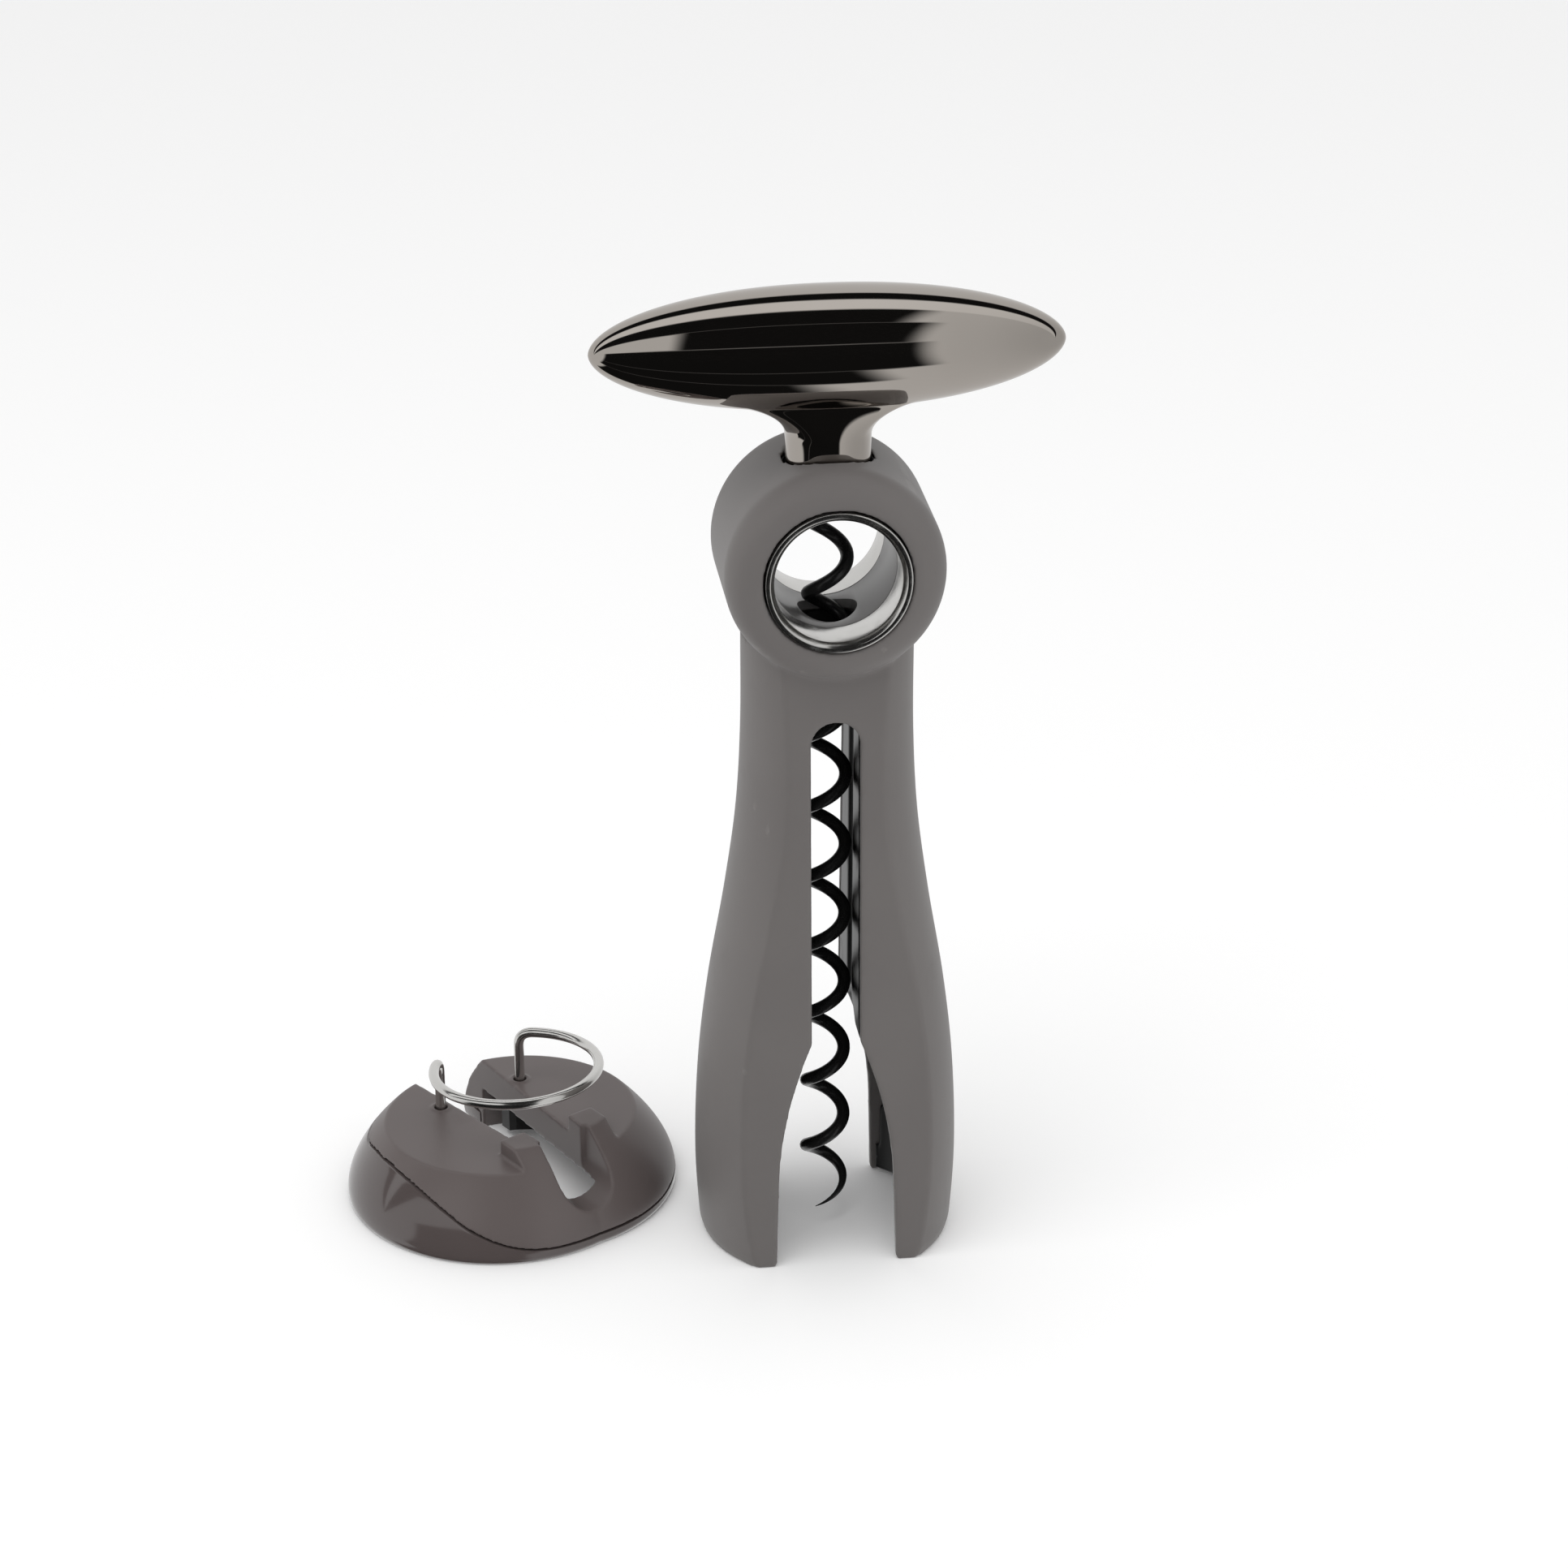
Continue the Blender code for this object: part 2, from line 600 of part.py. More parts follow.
def notch_outline():
    points = [(NOTCH_HALF, FAR)]
    for i in range(ARCH_STEPS + 1):
        a = math.pi * i / ARCH_STEPS
        points.append((NOTCH_HALF * math.cos(a), NOTCH_Z + NOTCH_HALF - NOTCH_HALF * math.sin(a)))
    points.append((-NOTCH_HALF, FAR))
    return points


def seat_outline():
    """Plan outline of everything levelled to the seat, leaving the horns beside the notch."""
    return [
        (FAR, -FAR), (FAR, FAR), (-FAR, FAR), (-FAR, -FAR),
        (-HORN_HALF, -FAR), (-HORN_HALF, HORN_BACK_Y), (HORN_HALF, HORN_BACK_Y), (HORN_HALF, -FAR),
    ]


def shape_jaw(obj, frame, side):
    """Cuts shared by both shells of a jaw."""
    cut(obj, frame, slab_bm(jaw_side_outline(side), -FAR / 2, FAR), "INTERSECT")
    cut(obj, frame, prism_bm(notch_outline(), -FAR, NOTCH_BACK_Y))
    cut(obj, frame, cylinder_bm(CUP_R, BELOW, CUP_TOP, CUP_SEGMENTS, side * JAW_SHIFT))


def build_jaw(frame, pivot, side, mats):
    word = "left" if side < 0 else "right"
    hold = frame if side < 0 else pivot
    base = Vector((0, 0, 0)) if side < 0 else Vector((0, BRIDGE_Y, 0))
    centre = Vector((side * JAW_SHIFT, 0, 0))
    upper = turned("cutter_upper_" + word, dome_profile(), PARTS, DOME_SEGMENTS)
    place(upper, mats["cutter_satin"], hold, centre - base)
    shape_jaw(upper, frame, side)
    cut(upper, frame, slab_bm(seat_outline(), SEAT_Z, FAR))
    cut(upper, frame, band_bm(side, GAP))
    x = side * SPRING_FOOT_X
    hole_r = SPRING_R + GAP
    cut(upper, frame, cylinder_bm(hole_r, SPRING_BOTTOM_Z - GAP, FAR / 2, HOLE_SEGMENTS, x, SPRING_FOOT_Y))
    sink = cylinder_bm(
        hole_r, SEAT_Z - SINK_DEPTH, SEAT_Z + SINK_DEPTH, HOLE_SEGMENTS, x, SPRING_FOOT_Y, SINK_R,
    )
    cut(upper, frame, sink)
    lower = turned("cutter_lower_" + word, dome_profile(), PARTS, DOME_SEGMENTS)
    place(lower, mats["cutter_gloss"], hold, centre - base)
    cut(lower, frame, band_bm(side, 0.0), "INTERSECT")
    cut(lower, frame, slab_bm(jaw_side_outline(side), -FAR / 2, FAR), "INTERSECT")
    build_carrier(frame, hold, base, side, word, mats)


def wheel_spot(side, end):
    angle = WHEEL_ANGLE * end
    x = side * (JAW_SHIFT + WHEEL_RING_R * math.cos(angle))
    return Vector((x, WHEEL_RING_R * math.sin(angle), WHEEL_Z))


def build_carrier(frame, hold, base, side, word, mats):
    profile = tube_profile(CUP_R - GAP, CARRIER_IN_R, CARRIER_LOW_Z, CUP_TOP - GAP)
    carrier = turned("wheel_carrier_" + word, profile, PARTS, SIDE_SEGMENTS, True)
    place(carrier, mats["liner"], hold, Vector((side * JAW_SHIFT, 0, 0)) - base)
    keep = box_bm(side * CARRIER_SIDE_X, side * FAR, -CARRIER_HALF_Y, CARRIER_HALF_Y, 0, FAR)
    cut(carrier, frame, keep, "INTERSECT")
    for end, where in ((-1, "front"), (1, "back")):
        spot = wheel_spot(side, end)
        low = WHEEL_Z - WHEEL_HALF - GAP
        high = WHEEL_Z + WHEEL_HALF + GAP
        room_r = WHEEL_R + 2 * GAP
        cut(carrier, frame, cylinder_bm(room_r, low, high, WHEEL_ROOM_SEGMENTS, spot.x, spot.y))
        cut(carrier, frame, cylinder_bm(AXLE_R + GAP, 0.0, AXLE_TOP_Z + GAP, PIN_SEGMENTS, spot.x, spot.y))
        wheel = turned("cutting_wheel_" + word + "_" + where, wheel_profile(), PARTS, SMALL_SEGMENTS, True)
        place(wheel, mats["blade"], hold, spot - base)
        axle = turned("wheel_axle_" + word + "_" + where, axle_profile(), PARTS, PIN_SEGMENTS)
        place(axle, mats["steel"], hold, Vector((spot.x, spot.y, 0)) - base)


def wheel_profile():
    bore = AXLE_R + GAP
    return [
        (WHEEL_R - WHEEL_BEVEL, WHEEL_HALF), (WHEEL_R, WHEEL_EDGE), (WHEEL_R, -WHEEL_EDGE),
        (WHEEL_R - WHEEL_BEVEL, -WHEEL_HALF), (bore, -WHEEL_HALF), (bore, WHEEL_HALF),
    ]


def axle_profile():
    return [(0.0, AXLE_TOP_Z), (AXLE_R, AXLE_TOP_Z), (AXLE_R, AXLE_LOW_Z), (0.0, AXLE_LOW_Z)]


def build_spring(frame, mats):
    """Open wire loop above the seat, whose two ends bend down into the jaws."""
    loop = []
    left_end = math.pi - LEG_ANGLE
    sweep = math.tau - (left_end - LEG_ANGLE)
    for i in range(LOOP_STEPS + 1):
        a = left_end + sweep * i / LOOP_STEPS
        y = WIRE_LOOP_Y + WIRE_LOOP_R * math.sin(a)
        loop.append(Vector((WIRE_LOOP_R * math.cos(a), y, WIRE_LOOP_Z - WIRE_TILT * y)))
    legs = []
    for end, ahead in ((loop[0], loop[2]), (loop[-1], loop[-3])):
        bend_low = end - Vector((0, 0, BEND_R))
        bend = (end + bend_low) / 2 + (ahead - end) * BEND_LEAD
        legs.append([Vector((end.x, end.y, SPRING_BOTTOM_Z)), bend_low, bend])
    path = legs[0] + loop[1:-1] + legs[1][::-1]
    spring = wire_object("spring_wire", path, [1.0] * len(path), SPRING_R)
    place(spring, mats["steel"], frame)


# ---------------------------------------------------------------- assembly
clear_scene()
PARTS = new_collection("TwistCorkscrew")
TOOLS = new_collection("TwistCorkscrewTools")
materials = {
    "body": new_material("body_soft_touch", (0.142, 0.130, 0.124), 0.55),
    "chrome": new_material("handle_dark_chrome", (0.48, 0.45, 0.42), 0.12, 1.0),
    "steel": new_material("polished_steel", (0.72, 0.71, 0.69), 0.18, 1.0),
    "sleeve": new_material("sleeve_satin_grey", (0.20, 0.19, 0.18), 0.4),
    "liner": new_material("liner_gloss_black", (0.012, 0.012, 0.013), 0.22),
    "worm": new_material("worm_black_coating", (0.010, 0.010, 0.011), 0.3),
    "hub": new_material("hub_steel", (0.35, 0.34, 0.33), 0.35, 1.0),
    "blade": new_material("blade_steel", (0.62, 0.62, 0.63), 0.22, 1.0),
    "cutter_satin": new_material("cutter_satin_brown_grey", (0.125, 0.102, 0.097), 0.42),
    "cutter_gloss": new_material("cutter_gloss_brown_grey", (0.088, 0.070, 0.068), 0.16, 0.0, 0.6),
}
corkscrew = new_frame("corkscrew_frame", (AXIS_X, AXIS_Y, 0), 0.0)
cutter = new_frame("cutter_frame", (CUTTER_X, CUTTER_Y, 0), CUTTER_TURN)
jaw_pivot = new_frame("jaw_pivot", (0, BRIDGE_Y, 0), 0.0, cutter)
build_body(corkscrew, materials)
build_bore_parts(corkscrew, materials)
build_liners(corkscrew, materials)
build_handle(corkscrew, materials)
build_worm(corkscrew, materials)
build_jaw(cutter, jaw_pivot, -1, materials)
build_jaw(cutter, jaw_pivot, 1, materials)
build_spring(cutter, materials)
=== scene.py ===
# %% [markdown]
# # A twist corkscrew with its foil cutter
# This lesson dresses a jointed model in its finished shapes and surfaces. Its solids are right
# in size, but they are coarse, so each visible one is replaced here by a fine piece that rides
# on the same body. All lengths are in metres, written as millimetres times MM.

# %% Load the jointed model
import math

import bmesh
import bpy
from mathutils import Matrix, Vector
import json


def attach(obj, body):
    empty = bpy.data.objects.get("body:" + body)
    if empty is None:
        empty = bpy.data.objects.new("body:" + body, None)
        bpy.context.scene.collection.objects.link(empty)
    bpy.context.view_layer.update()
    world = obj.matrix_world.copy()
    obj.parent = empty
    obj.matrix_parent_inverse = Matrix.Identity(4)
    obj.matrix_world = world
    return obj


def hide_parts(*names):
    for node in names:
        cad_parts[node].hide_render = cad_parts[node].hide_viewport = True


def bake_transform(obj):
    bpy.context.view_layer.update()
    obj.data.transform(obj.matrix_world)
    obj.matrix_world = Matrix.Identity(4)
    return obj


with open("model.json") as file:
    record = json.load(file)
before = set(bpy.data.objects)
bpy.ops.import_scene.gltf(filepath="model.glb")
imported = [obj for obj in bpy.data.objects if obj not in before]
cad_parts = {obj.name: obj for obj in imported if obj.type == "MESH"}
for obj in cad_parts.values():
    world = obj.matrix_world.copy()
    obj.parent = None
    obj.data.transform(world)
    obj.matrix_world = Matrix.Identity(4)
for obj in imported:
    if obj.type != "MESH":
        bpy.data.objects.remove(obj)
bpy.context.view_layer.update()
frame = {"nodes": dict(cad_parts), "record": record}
MM = 0.001
GAP = 0.3 * MM

# %% [markdown]
# ## Where things stand
# The corkscrew stands on its own axis. The foil cutter stands beside it, turned a little.
# Every piece is first made about its own axis, and then its mesh is moved to its place,
# so that the finished object stays at the origin as the solids do.

# %% Places
AXIS = Vector((23.49 * MM, -15.92 * MM, 0))
CUTTER = AXIS + Vector((-56.7 * MM, 19.3 * MM, 0))
AT_CORKSCREW = Matrix.Translation(AXIS)
AT_CUTTER = Matrix.Translation(CUTTER) @ Matrix.Rotation(math.radians(31.0), 4, "Z")
FAR = 60 * MM

# %% [markdown]
# ## Helpers for making pieces
# A turned shape is half an outline spun about Z. Cutting and joining is done with the exact
# Boolean. A moulded part has no knife edges, so its joined shape is remeshed in small voxels,
# smoothed a little and thinned, which rounds every edge and fillets every inner corner as a
# mould does.

# %% Helpers


def spun(outline, steps, closed=False):
    """Solid made by spinning an outline of (radius, height) points once about Z."""
    bm = bmesh.new()
    verts = [bm.verts.new((r, 0, z)) for r, z in outline]
    edges = [bm.edges.new(pair) for pair in zip(verts, verts[1:])]
    if closed:
        edges.append(bm.edges.new((verts[-1], verts[0])))
    bmesh.ops.spin(
        bm, geom=verts + edges, cent=(0, 0, 0), axis=(0, 0, 1), dvec=(0, 0, 0),
        angle=math.tau, steps=steps, use_merge=True,
    )
    bmesh.ops.remove_doubles(bm, verts=bm.verts, dist=0.002 * MM)
    bmesh.ops.recalc_face_normals(bm, faces=bm.faces)
    return bm


def box(x0, x1, y0, y1, z0, z1):
    bm = bmesh.new()
    bmesh.ops.create_cube(bm, size=1.0)
    bmesh.ops.scale(bm, vec=(x1 - x0, y1 - y0, z1 - z0), verts=bm.verts)
    middle = ((x0 + x1) / 2, (y0 + y1) / 2, (z0 + z1) / 2)
    bmesh.ops.translate(bm, vec=middle, verts=bm.verts)
    return bm


def rod(radius, z0, z1, x=0.0, y=0.0, top_radius=None, segments=64):
    bm = bmesh.new()
    bmesh.ops.create_cone(
        bm, cap_ends=True, segments=segments, radius1=radius,
        radius2=radius if top_radius is None else top_radius, depth=z1 - z0,
    )
    bmesh.ops.translate(bm, vec=(x, y, (z0 + z1) / 2), verts=bm.verts)
    return bm


def slab(outline, z0, z1):
    """Solid between two heights from a plan outline of (x, y) points."""
    bm = bmesh.new()
    face = bm.faces.new([bm.verts.new((x, y, z0)) for x, y in outline])
    grown = bmesh.ops.extrude_face_region(bm, geom=[face])
    moved = [item for item in grown["geom"] if isinstance(item, bmesh.types.BMVert)]
    bmesh.ops.translate(bm, vec=(0, 0, z1 - z0), verts=moved)
    bmesh.ops.recalc_face_normals(bm, faces=bm.faces)
    return bm


def wall(outline, y0, y1):
    """Solid between two Y planes from a front outline of (x, z) points."""
    bm = slab([(x, z) for x, z in outline], -y1, -y0)
    bm.transform(Matrix.Rotation(math.radians(90), 4, "X"))
    return bm


def to_object(name, bm):
    mesh = bpy.data.meshes.new(name)
    bm.to_mesh(mesh)
    bm.free()
    obj = bpy.data.objects.new(name, mesh)
    bpy.context.scene.collection.objects.link(obj)
    return obj


def settle(obj):
    """Apply every modifier and drop them, so that the mesh is what is seen."""
    graph = bpy.context.evaluated_depsgraph_get()
    mesh = bpy.data.meshes.new_from_object(obj.evaluated_get(graph))
    obj.modifiers.clear()
    obj.data = mesh
    return obj


def carved(name, bm, steps):
    """Object after a list of (operation, tool) Booleans, each tool given as a bmesh."""
    obj = to_object(name, bm)
    tools = [to_object("tool", tool) for _, tool in steps]
    for (operation, _), tool in zip(steps, tools):
        mod = obj.modifiers.new("shape", "BOOLEAN")
        mod.operation = operation
        mod.solver = "EXACT"
        mod.object = tool
    settle(obj)
    for tool in tools:
        bpy.data.objects.remove(tool, do_unlink=True)
    return obj


def moulded(obj, voxel, passes, keep):
    """Round the edges of a carved object as a mould would."""
    remesh = obj.modifiers.new("voxels", "REMESH")
    remesh.mode = "VOXEL"
    remesh.voxel_size = voxel
    smooth = obj.modifiers.new("soften", "SMOOTH")
    smooth.factor = 0.5
    smooth.iterations = passes
    thin = obj.modifiers.new("thin", "DECIMATE")
    thin.ratio = keep
    return settle(obj)


def eased(obj, width, segments=3, angle=40):
    """Small rounds on the sharp edges of a clean mesh."""
    bevel = obj.modifiers.new("ease", "BEVEL")
    bevel.width = width
    bevel.segments = segments
    bevel.limit_method = "ANGLE"
    bevel.angle_limit = math.radians(angle)
    return settle(obj)


def smooth_step(t):
    t = min(1.0, max(0.0, t))
    return t * t * (3 - 2 * t)


def eased_through(stations, at):
    """Value at a place along a list of (place, value) stations, without corners between them."""
    if at <= stations[0][0]:
        return stations[0][1]
    for i in range(len(stations) - 1):
        (x0, y0), (x1, y1) = stations[i], stations[i + 1]
        if at <= x1:
            before = stations[max(i - 1, 0)]
            after = stations[min(i + 2, len(stations) - 1)]
            lean0 = (y1 - before[1]) / (x1 - before[0]) * (x1 - x0)
            lean1 = (after[1] - y0) / (after[0] - x0) * (x1 - x0)
            t = (at - x0) / (x1 - x0)
            start = (1 + 2 * t) * (1 - t) ** 2 * y0 + t * (1 - t) ** 2 * lean0
            return start + t * t * (3 - 2 * t) * y1 + t * t * (t - 1) * lean1
    return stations[-1][1]


# %% [markdown]
# ## Shared surface effects
# Three small effects turn up in many finishes, so each is a node group that puts out a value.
# Fine grain is the tooth of a moulded or coated surface. Handling marks are broad, faint
# patches where a part has been wiped or held. The third effect picks out the ridges of a mesh,
# where a painted highlight lightens the colour as if light caught the rounded edges.

# %% Shared surface effects


def new_group(name, inputs, outputs):
    group = bpy.data.node_groups.new(name, "ShaderNodeTree")
    for label, value in inputs:
        socket = group.interface.new_socket(label, in_out="INPUT", socket_type="NodeSocketFloat")
        socket.default_value = value
    for label in outputs:
        group.interface.new_socket(label, in_out="OUTPUT", socket_type="NodeSocketFloat")
    return group, group.nodes.new("NodeGroupInput"), group.nodes.new("NodeGroupOutput")


def ramp_between(tree, source, low, high, out_low, out_high):
    node = tree.nodes.new("ShaderNodeMapRange")
    node.interpolation_type = "SMOOTHSTEP"
    for index, value in ((1, low), (2, high), (3, out_low), (4, out_high)):
        if isinstance(value, (int, float)):
            node.inputs[index].default_value = value
        else:
            tree.links.new(value, node.inputs[index])
    tree.links.new(source, node.inputs[0])
    return node.outputs[0]


def noise(tree, scale, detail, roughness=0.5, stretch=None):
    place = tree.nodes.new("ShaderNodeTexCoord").outputs["Object"]
    if stretch:
        mapping = tree.nodes.new("ShaderNodeMapping")
        mapping.inputs["Scale"].default_value = stretch
        tree.links.new(place, mapping.inputs["Vector"])
        place = mapping.outputs["Vector"]
    node = tree.nodes.new("ShaderNodeTexNoise")
    node.inputs["Detail"].default_value = detail
    node.inputs["Roughness"].default_value = roughness
    if isinstance(scale, (int, float)):
        node.inputs["Scale"].default_value = scale
    else:
        tree.links.new(scale, node.inputs["Scale"])
    tree.links.new(place, node.inputs["Vector"])
    return node.outputs["Fac"]


def make_grain():
    tree, entry, leave = new_group("FineGrain", [("Scale", 4000.0)], ["Height", "Speckle"])
    height = noise(tree, entry.outputs["Scale"], 3.0, 0.6)
    tree.links.new(height, leave.inputs["Height"])
    tree.links.new(ramp_between(tree, height, 0.35, 0.65, 0.0, 1.0), leave.inputs["Speckle"])
    return tree


def make_marks():
    tree, entry, leave = new_group("HandlingMarks", [("Scale", 60.0), ("Clean", 0.5)], ["Mask"])
    broad = noise(tree, entry.outputs["Scale"], 5.0, 0.62)
    tree.links.new(ramp_between(tree, broad, entry.outputs["Clean"], 0.78, 0.0, 1.0), leave.inputs["Mask"])
    return tree


def make_painted_highlight():
    # Painted highlight: a mask of the mesh ridges, broken up by noise, that lightens the colour there.
    tree, entry, leave = new_group("PaintedEdgeHighlight", [("From", 0.53), ("To", 0.6)], ["Mask"])
    ridge = tree.nodes.new("ShaderNodeNewGeometry").outputs["Pointiness"]
    edge = ramp_between(tree, ridge, entry.outputs["From"], entry.outputs["To"], 0.0, 1.0)
    broken = ramp_between(tree, noise(tree, 900.0, 4.0), 0.35, 0.7, 0.25, 1.0)
    both = tree.nodes.new("ShaderNodeMath")
    both.operation = "MULTIPLY"
    tree.links.new(edge, both.inputs[0])
    tree.links.new(broken, both.inputs[1])
    tree.links.new(both.outputs[0], leave.inputs["Mask"])
    return tree


GRAIN = make_grain()
MARKS = make_marks()
PAINTED_HIGHLIGHT = make_painted_highlight()
print("shared effects:", GRAIN.name, MARKS.name, PAINTED_HIGHLIGHT.name)

# %% [markdown]
# ## A finish builder
# Every finish here is a base colour that drifts slightly, a roughness that rises under
# handling marks, and a fine bump. One function wires that up, and each finish passes its own
# numbers. Anything constant, such as a clear coat's roughness, is set on the shader itself.

# %% Finish builder


def placed_group(tree, group, **values):
    node = tree.nodes.new("ShaderNodeGroup")
    node.node_tree = group
    for label, value in values.items():
        node.inputs[label].default_value = value
    return node


def mixed(tree, factor, first, second):
    node = tree.nodes.new("ShaderNodeMix")
    node.data_type = "RGBA"
    tree.links.new(factor, node.inputs[0])
    for socket, value in ((node.inputs[6], first), (node.inputs[7], second)):
        if isinstance(value, tuple):
            socket.default_value = (*value, 1.0)
        else:
            tree.links.new(value, socket)
    return node.outputs[2]


def finish(name, colour, drift, rough, rough_marked, grain_scale=4000.0, grain_depth=0.0,
           marks_scale=60.0, marks_from=0.5, metallic=0.0, highlight_colour=None, highlight_low=0.53,
           highlight_high=0.6, lay=None, lay_depth=0.0, constants=None):
    """Procedural finish; drift is the second colour, lay the stretch of tooling lines, and an optional
    lighter colour is a painted highlight on the ridges.
    """
    mat = bpy.data.materials.new(name)
    mat.use_nodes = True
    tree = mat.node_tree
    shader = tree.nodes["Principled BSDF"]
    shader.inputs["Metallic"].default_value = metallic
    for label, value in (constants or {}).items():
        shader.inputs[label].default_value = value
    grain = placed_group(tree, GRAIN, Scale=grain_scale)
    marks = placed_group(tree, MARKS, Scale=marks_scale, Clean=marks_from)
    base = mixed(tree, ramp_between(tree, noise(tree, 38.0, 3.0), 0.3, 0.7, 0.0, 1.0), colour, drift)
    # Painted highlight: the optional lighter colour goes on the ridges, where light would catch the edges.
    if highlight_colour:
        highlight_node = placed_group(tree, PAINTED_HIGHLIGHT, From=highlight_low, To=highlight_high)
        base = mixed(tree, highlight_node.outputs["Mask"], base, highlight_colour)
    tree.links.new(base, shader.inputs["Base Color"])
    roughness = ramp_between(tree, marks.outputs["Mask"], 0.0, 1.0, rough, rough_marked)
    tree.links.new(roughness, shader.inputs["Roughness"])
    height = grain.outputs["Height"]
    depth = grain_depth
    if lay:
        height = noise(tree, 1.0, 2.0, 0.5, lay)
        depth = lay_depth
    if depth:
        bump = tree.nodes.new("ShaderNodeBump")
        bump.inputs["Strength"].default_value = 1.0
        bump.inputs["Distance"].default_value = depth
        tree.links.new(height, bump.inputs["Height"])
        tree.links.new(bump.outputs["Normal"], shader.inputs["Normal"])
    return mat


# %% [markdown]
# ## The finishes
# The body has a soft-touch lacquer: warm grey, matt, with a trace of sheen. The foil cutter is
# browner, satin above its groove and glossy below. The handle is dark chrome over a polished
# casting. The worm has a low-friction black coat, and the bright parts are polished or turned
# steel.

# %% Finishes
soft_touch = finish(
    "soft_touch_grey", (0.150, 0.139, 0.134), (0.142, 0.131, 0.127), 0.50, 0.60,
    # The lighter colour here is a painted highlight on the body's ridges.
    grain_scale=5200.0, grain_depth=0.012 * MM, highlight_colour=(0.175, 0.163, 0.157),
    constants={"Sheen Weight": 0.12, "Sheen Roughness": 0.5, "Specular IOR Level": 0.42},
)
cutter_satin = finish(
    "cutter_satin_brown_grey", (0.118, 0.098, 0.095), (0.112, 0.093, 0.090), 0.36, 0.46,
    grain_scale=5200.0, grain_depth=0.005 * MM,
)
cutter_gloss = finish(
    "cutter_gloss_brown_grey", (0.086, 0.070, 0.068), (0.082, 0.067, 0.065), 0.13, 0.22,
    marks_scale=90.0, constants={"Coat Weight": 0.5, "Coat Roughness": 0.04},
)
liner_gloss = finish(
    "liner_gloss_black", (0.005, 0.005, 0.005), (0.007, 0.007, 0.007), 0.30, 0.40,
    marks_scale=110.0, grain_scale=2500.0, grain_depth=0.003 * MM,
    constants={"Specular IOR Level": 0.22},
)
recess_black = finish(
    "recess_satin_black", (0.010, 0.010, 0.010), (0.014, 0.013, 0.013), 0.42, 0.55,
    grain_scale=4000.0, grain_depth=0.006 * MM,
)
dark_chrome = finish(
    "dark_chrome", (0.46, 0.425, 0.390), (0.44, 0.405, 0.370), 0.035, 0.075,
    marks_scale=45.0, marks_from=0.55, metallic=1.0,
)
polished_steel = finish(
    "polished_steel", (0.74, 0.73, 0.71), (0.70, 0.69, 0.67), 0.17, 0.24,
    marks_scale=220.0, metallic=1.0,
)
turned_steel = finish(
    "turned_steel", (0.72, 0.71, 0.69), (0.64, 0.63, 0.61), 0.16, 0.28,
    marks_scale=320.0, marks_from=0.4, metallic=1.0,
    lay=(900.0, 9000.0, 900.0), lay_depth=0.004 * MM,
)
sleeve_grey = finish(
    "sleeve_satin_grey", (0.235, 0.230, 0.228), (0.215, 0.210, 0.209), 0.30, 0.40,
    grain_scale=4200.0, grain_depth=0.005 * MM, metallic=0.25,
)
worm_coat = finish(
    "worm_black_coat", (0.0075, 0.0075, 0.0075), (0.011, 0.011, 0.011), 0.26, 0.40,
    grain_scale=3600.0, grain_depth=0.006 * MM, marks_scale=150.0,
)
blade_steel = finish(
    "blade_steel", (0.62, 0.62, 0.63), (0.55, 0.55, 0.56), 0.18, 0.30,
    marks_scale=300.0, metallic=1.0, lay=(2600.0, 2600.0, 300.0), lay_depth=0.004 * MM,
)
print(len([m for m in bpy.data.materials if m.use_nodes]), "materials so far")

# %% [markdown]
# ## Handing a piece over
# A finished piece is moved to its place, shaded smooth, given its finish, and told which body it
# rides on and which solid it stands for.

# %% Handing over


def dressed(obj, node, material, at=AT_CORKSCREW, sharp=None, rides=True):
    """Place a finished mesh and let it stand for a CAD node; a piece that bends rides on nothing."""
    obj.data.transform(at)
    obj.data.update()
    obj.name = "fine_" + node
    obj.data.name = obj.name
    obj.data.materials.clear()
    obj.data.materials.append(material)
    obj.data.polygons.foreach_set("material_index", [0] * len(obj.data.polygons))
    obj.data.polygons.foreach_set("use_smooth", [True] * len(obj.data.polygons))
    if sharp:
        obj.data.set_sharp_from_angle(angle=math.radians(sharp))
    body = next(name for name, nodes in frame["record"]["behaviour"]["bodies"].items() if node in nodes)
    if rides:
        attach(obj, body)
    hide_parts(node)
    triangles = sum(len(face.vertices) - 2 for face in obj.data.polygons)
    print(obj.name, "belongs to", body, "with", triangles, "triangles")
    return obj


# %% [markdown]
# ## The body
# The legs are one flared tube. Its radius swells to the knees and draws in again at the feet, so
# the outline is eased through a few measured radii. The front and rear are flattened by leaning
# planes. The tube is hollowed by the same outline set inwards, and opened by a slot that widens
# into a gate. A thick rounded disc lying on its side is joined on top as the head.

# %% Body outline
LEG_STATIONS = (
    (0.0, 22.6), (1.2, 23.1), (16.0, 23.85), (34.0, 23.15), (50.0, 21.3),
    (68.0, 18.25), (84.0, 16.1), (100.0, 15.2), (118.0, 15.1),
)
FLAT_AT_FOOT = 17.5 * MM
FLAT_AT_NECK = 12.6 * MM
SHELL_WALL = 2.2 * MM
HEAD_Z = 132.0 * MM
SLOT_TOP = 105.0 * MM
SLOT_HALF = 4.35 * MM
LEG_LEVELS = 60
ROUND_STEPS = 144


def leg_radius(z):
    """Outer radius of the legs at a height."""
    return eased_through(LEG_STATIONS, z / MM) * MM


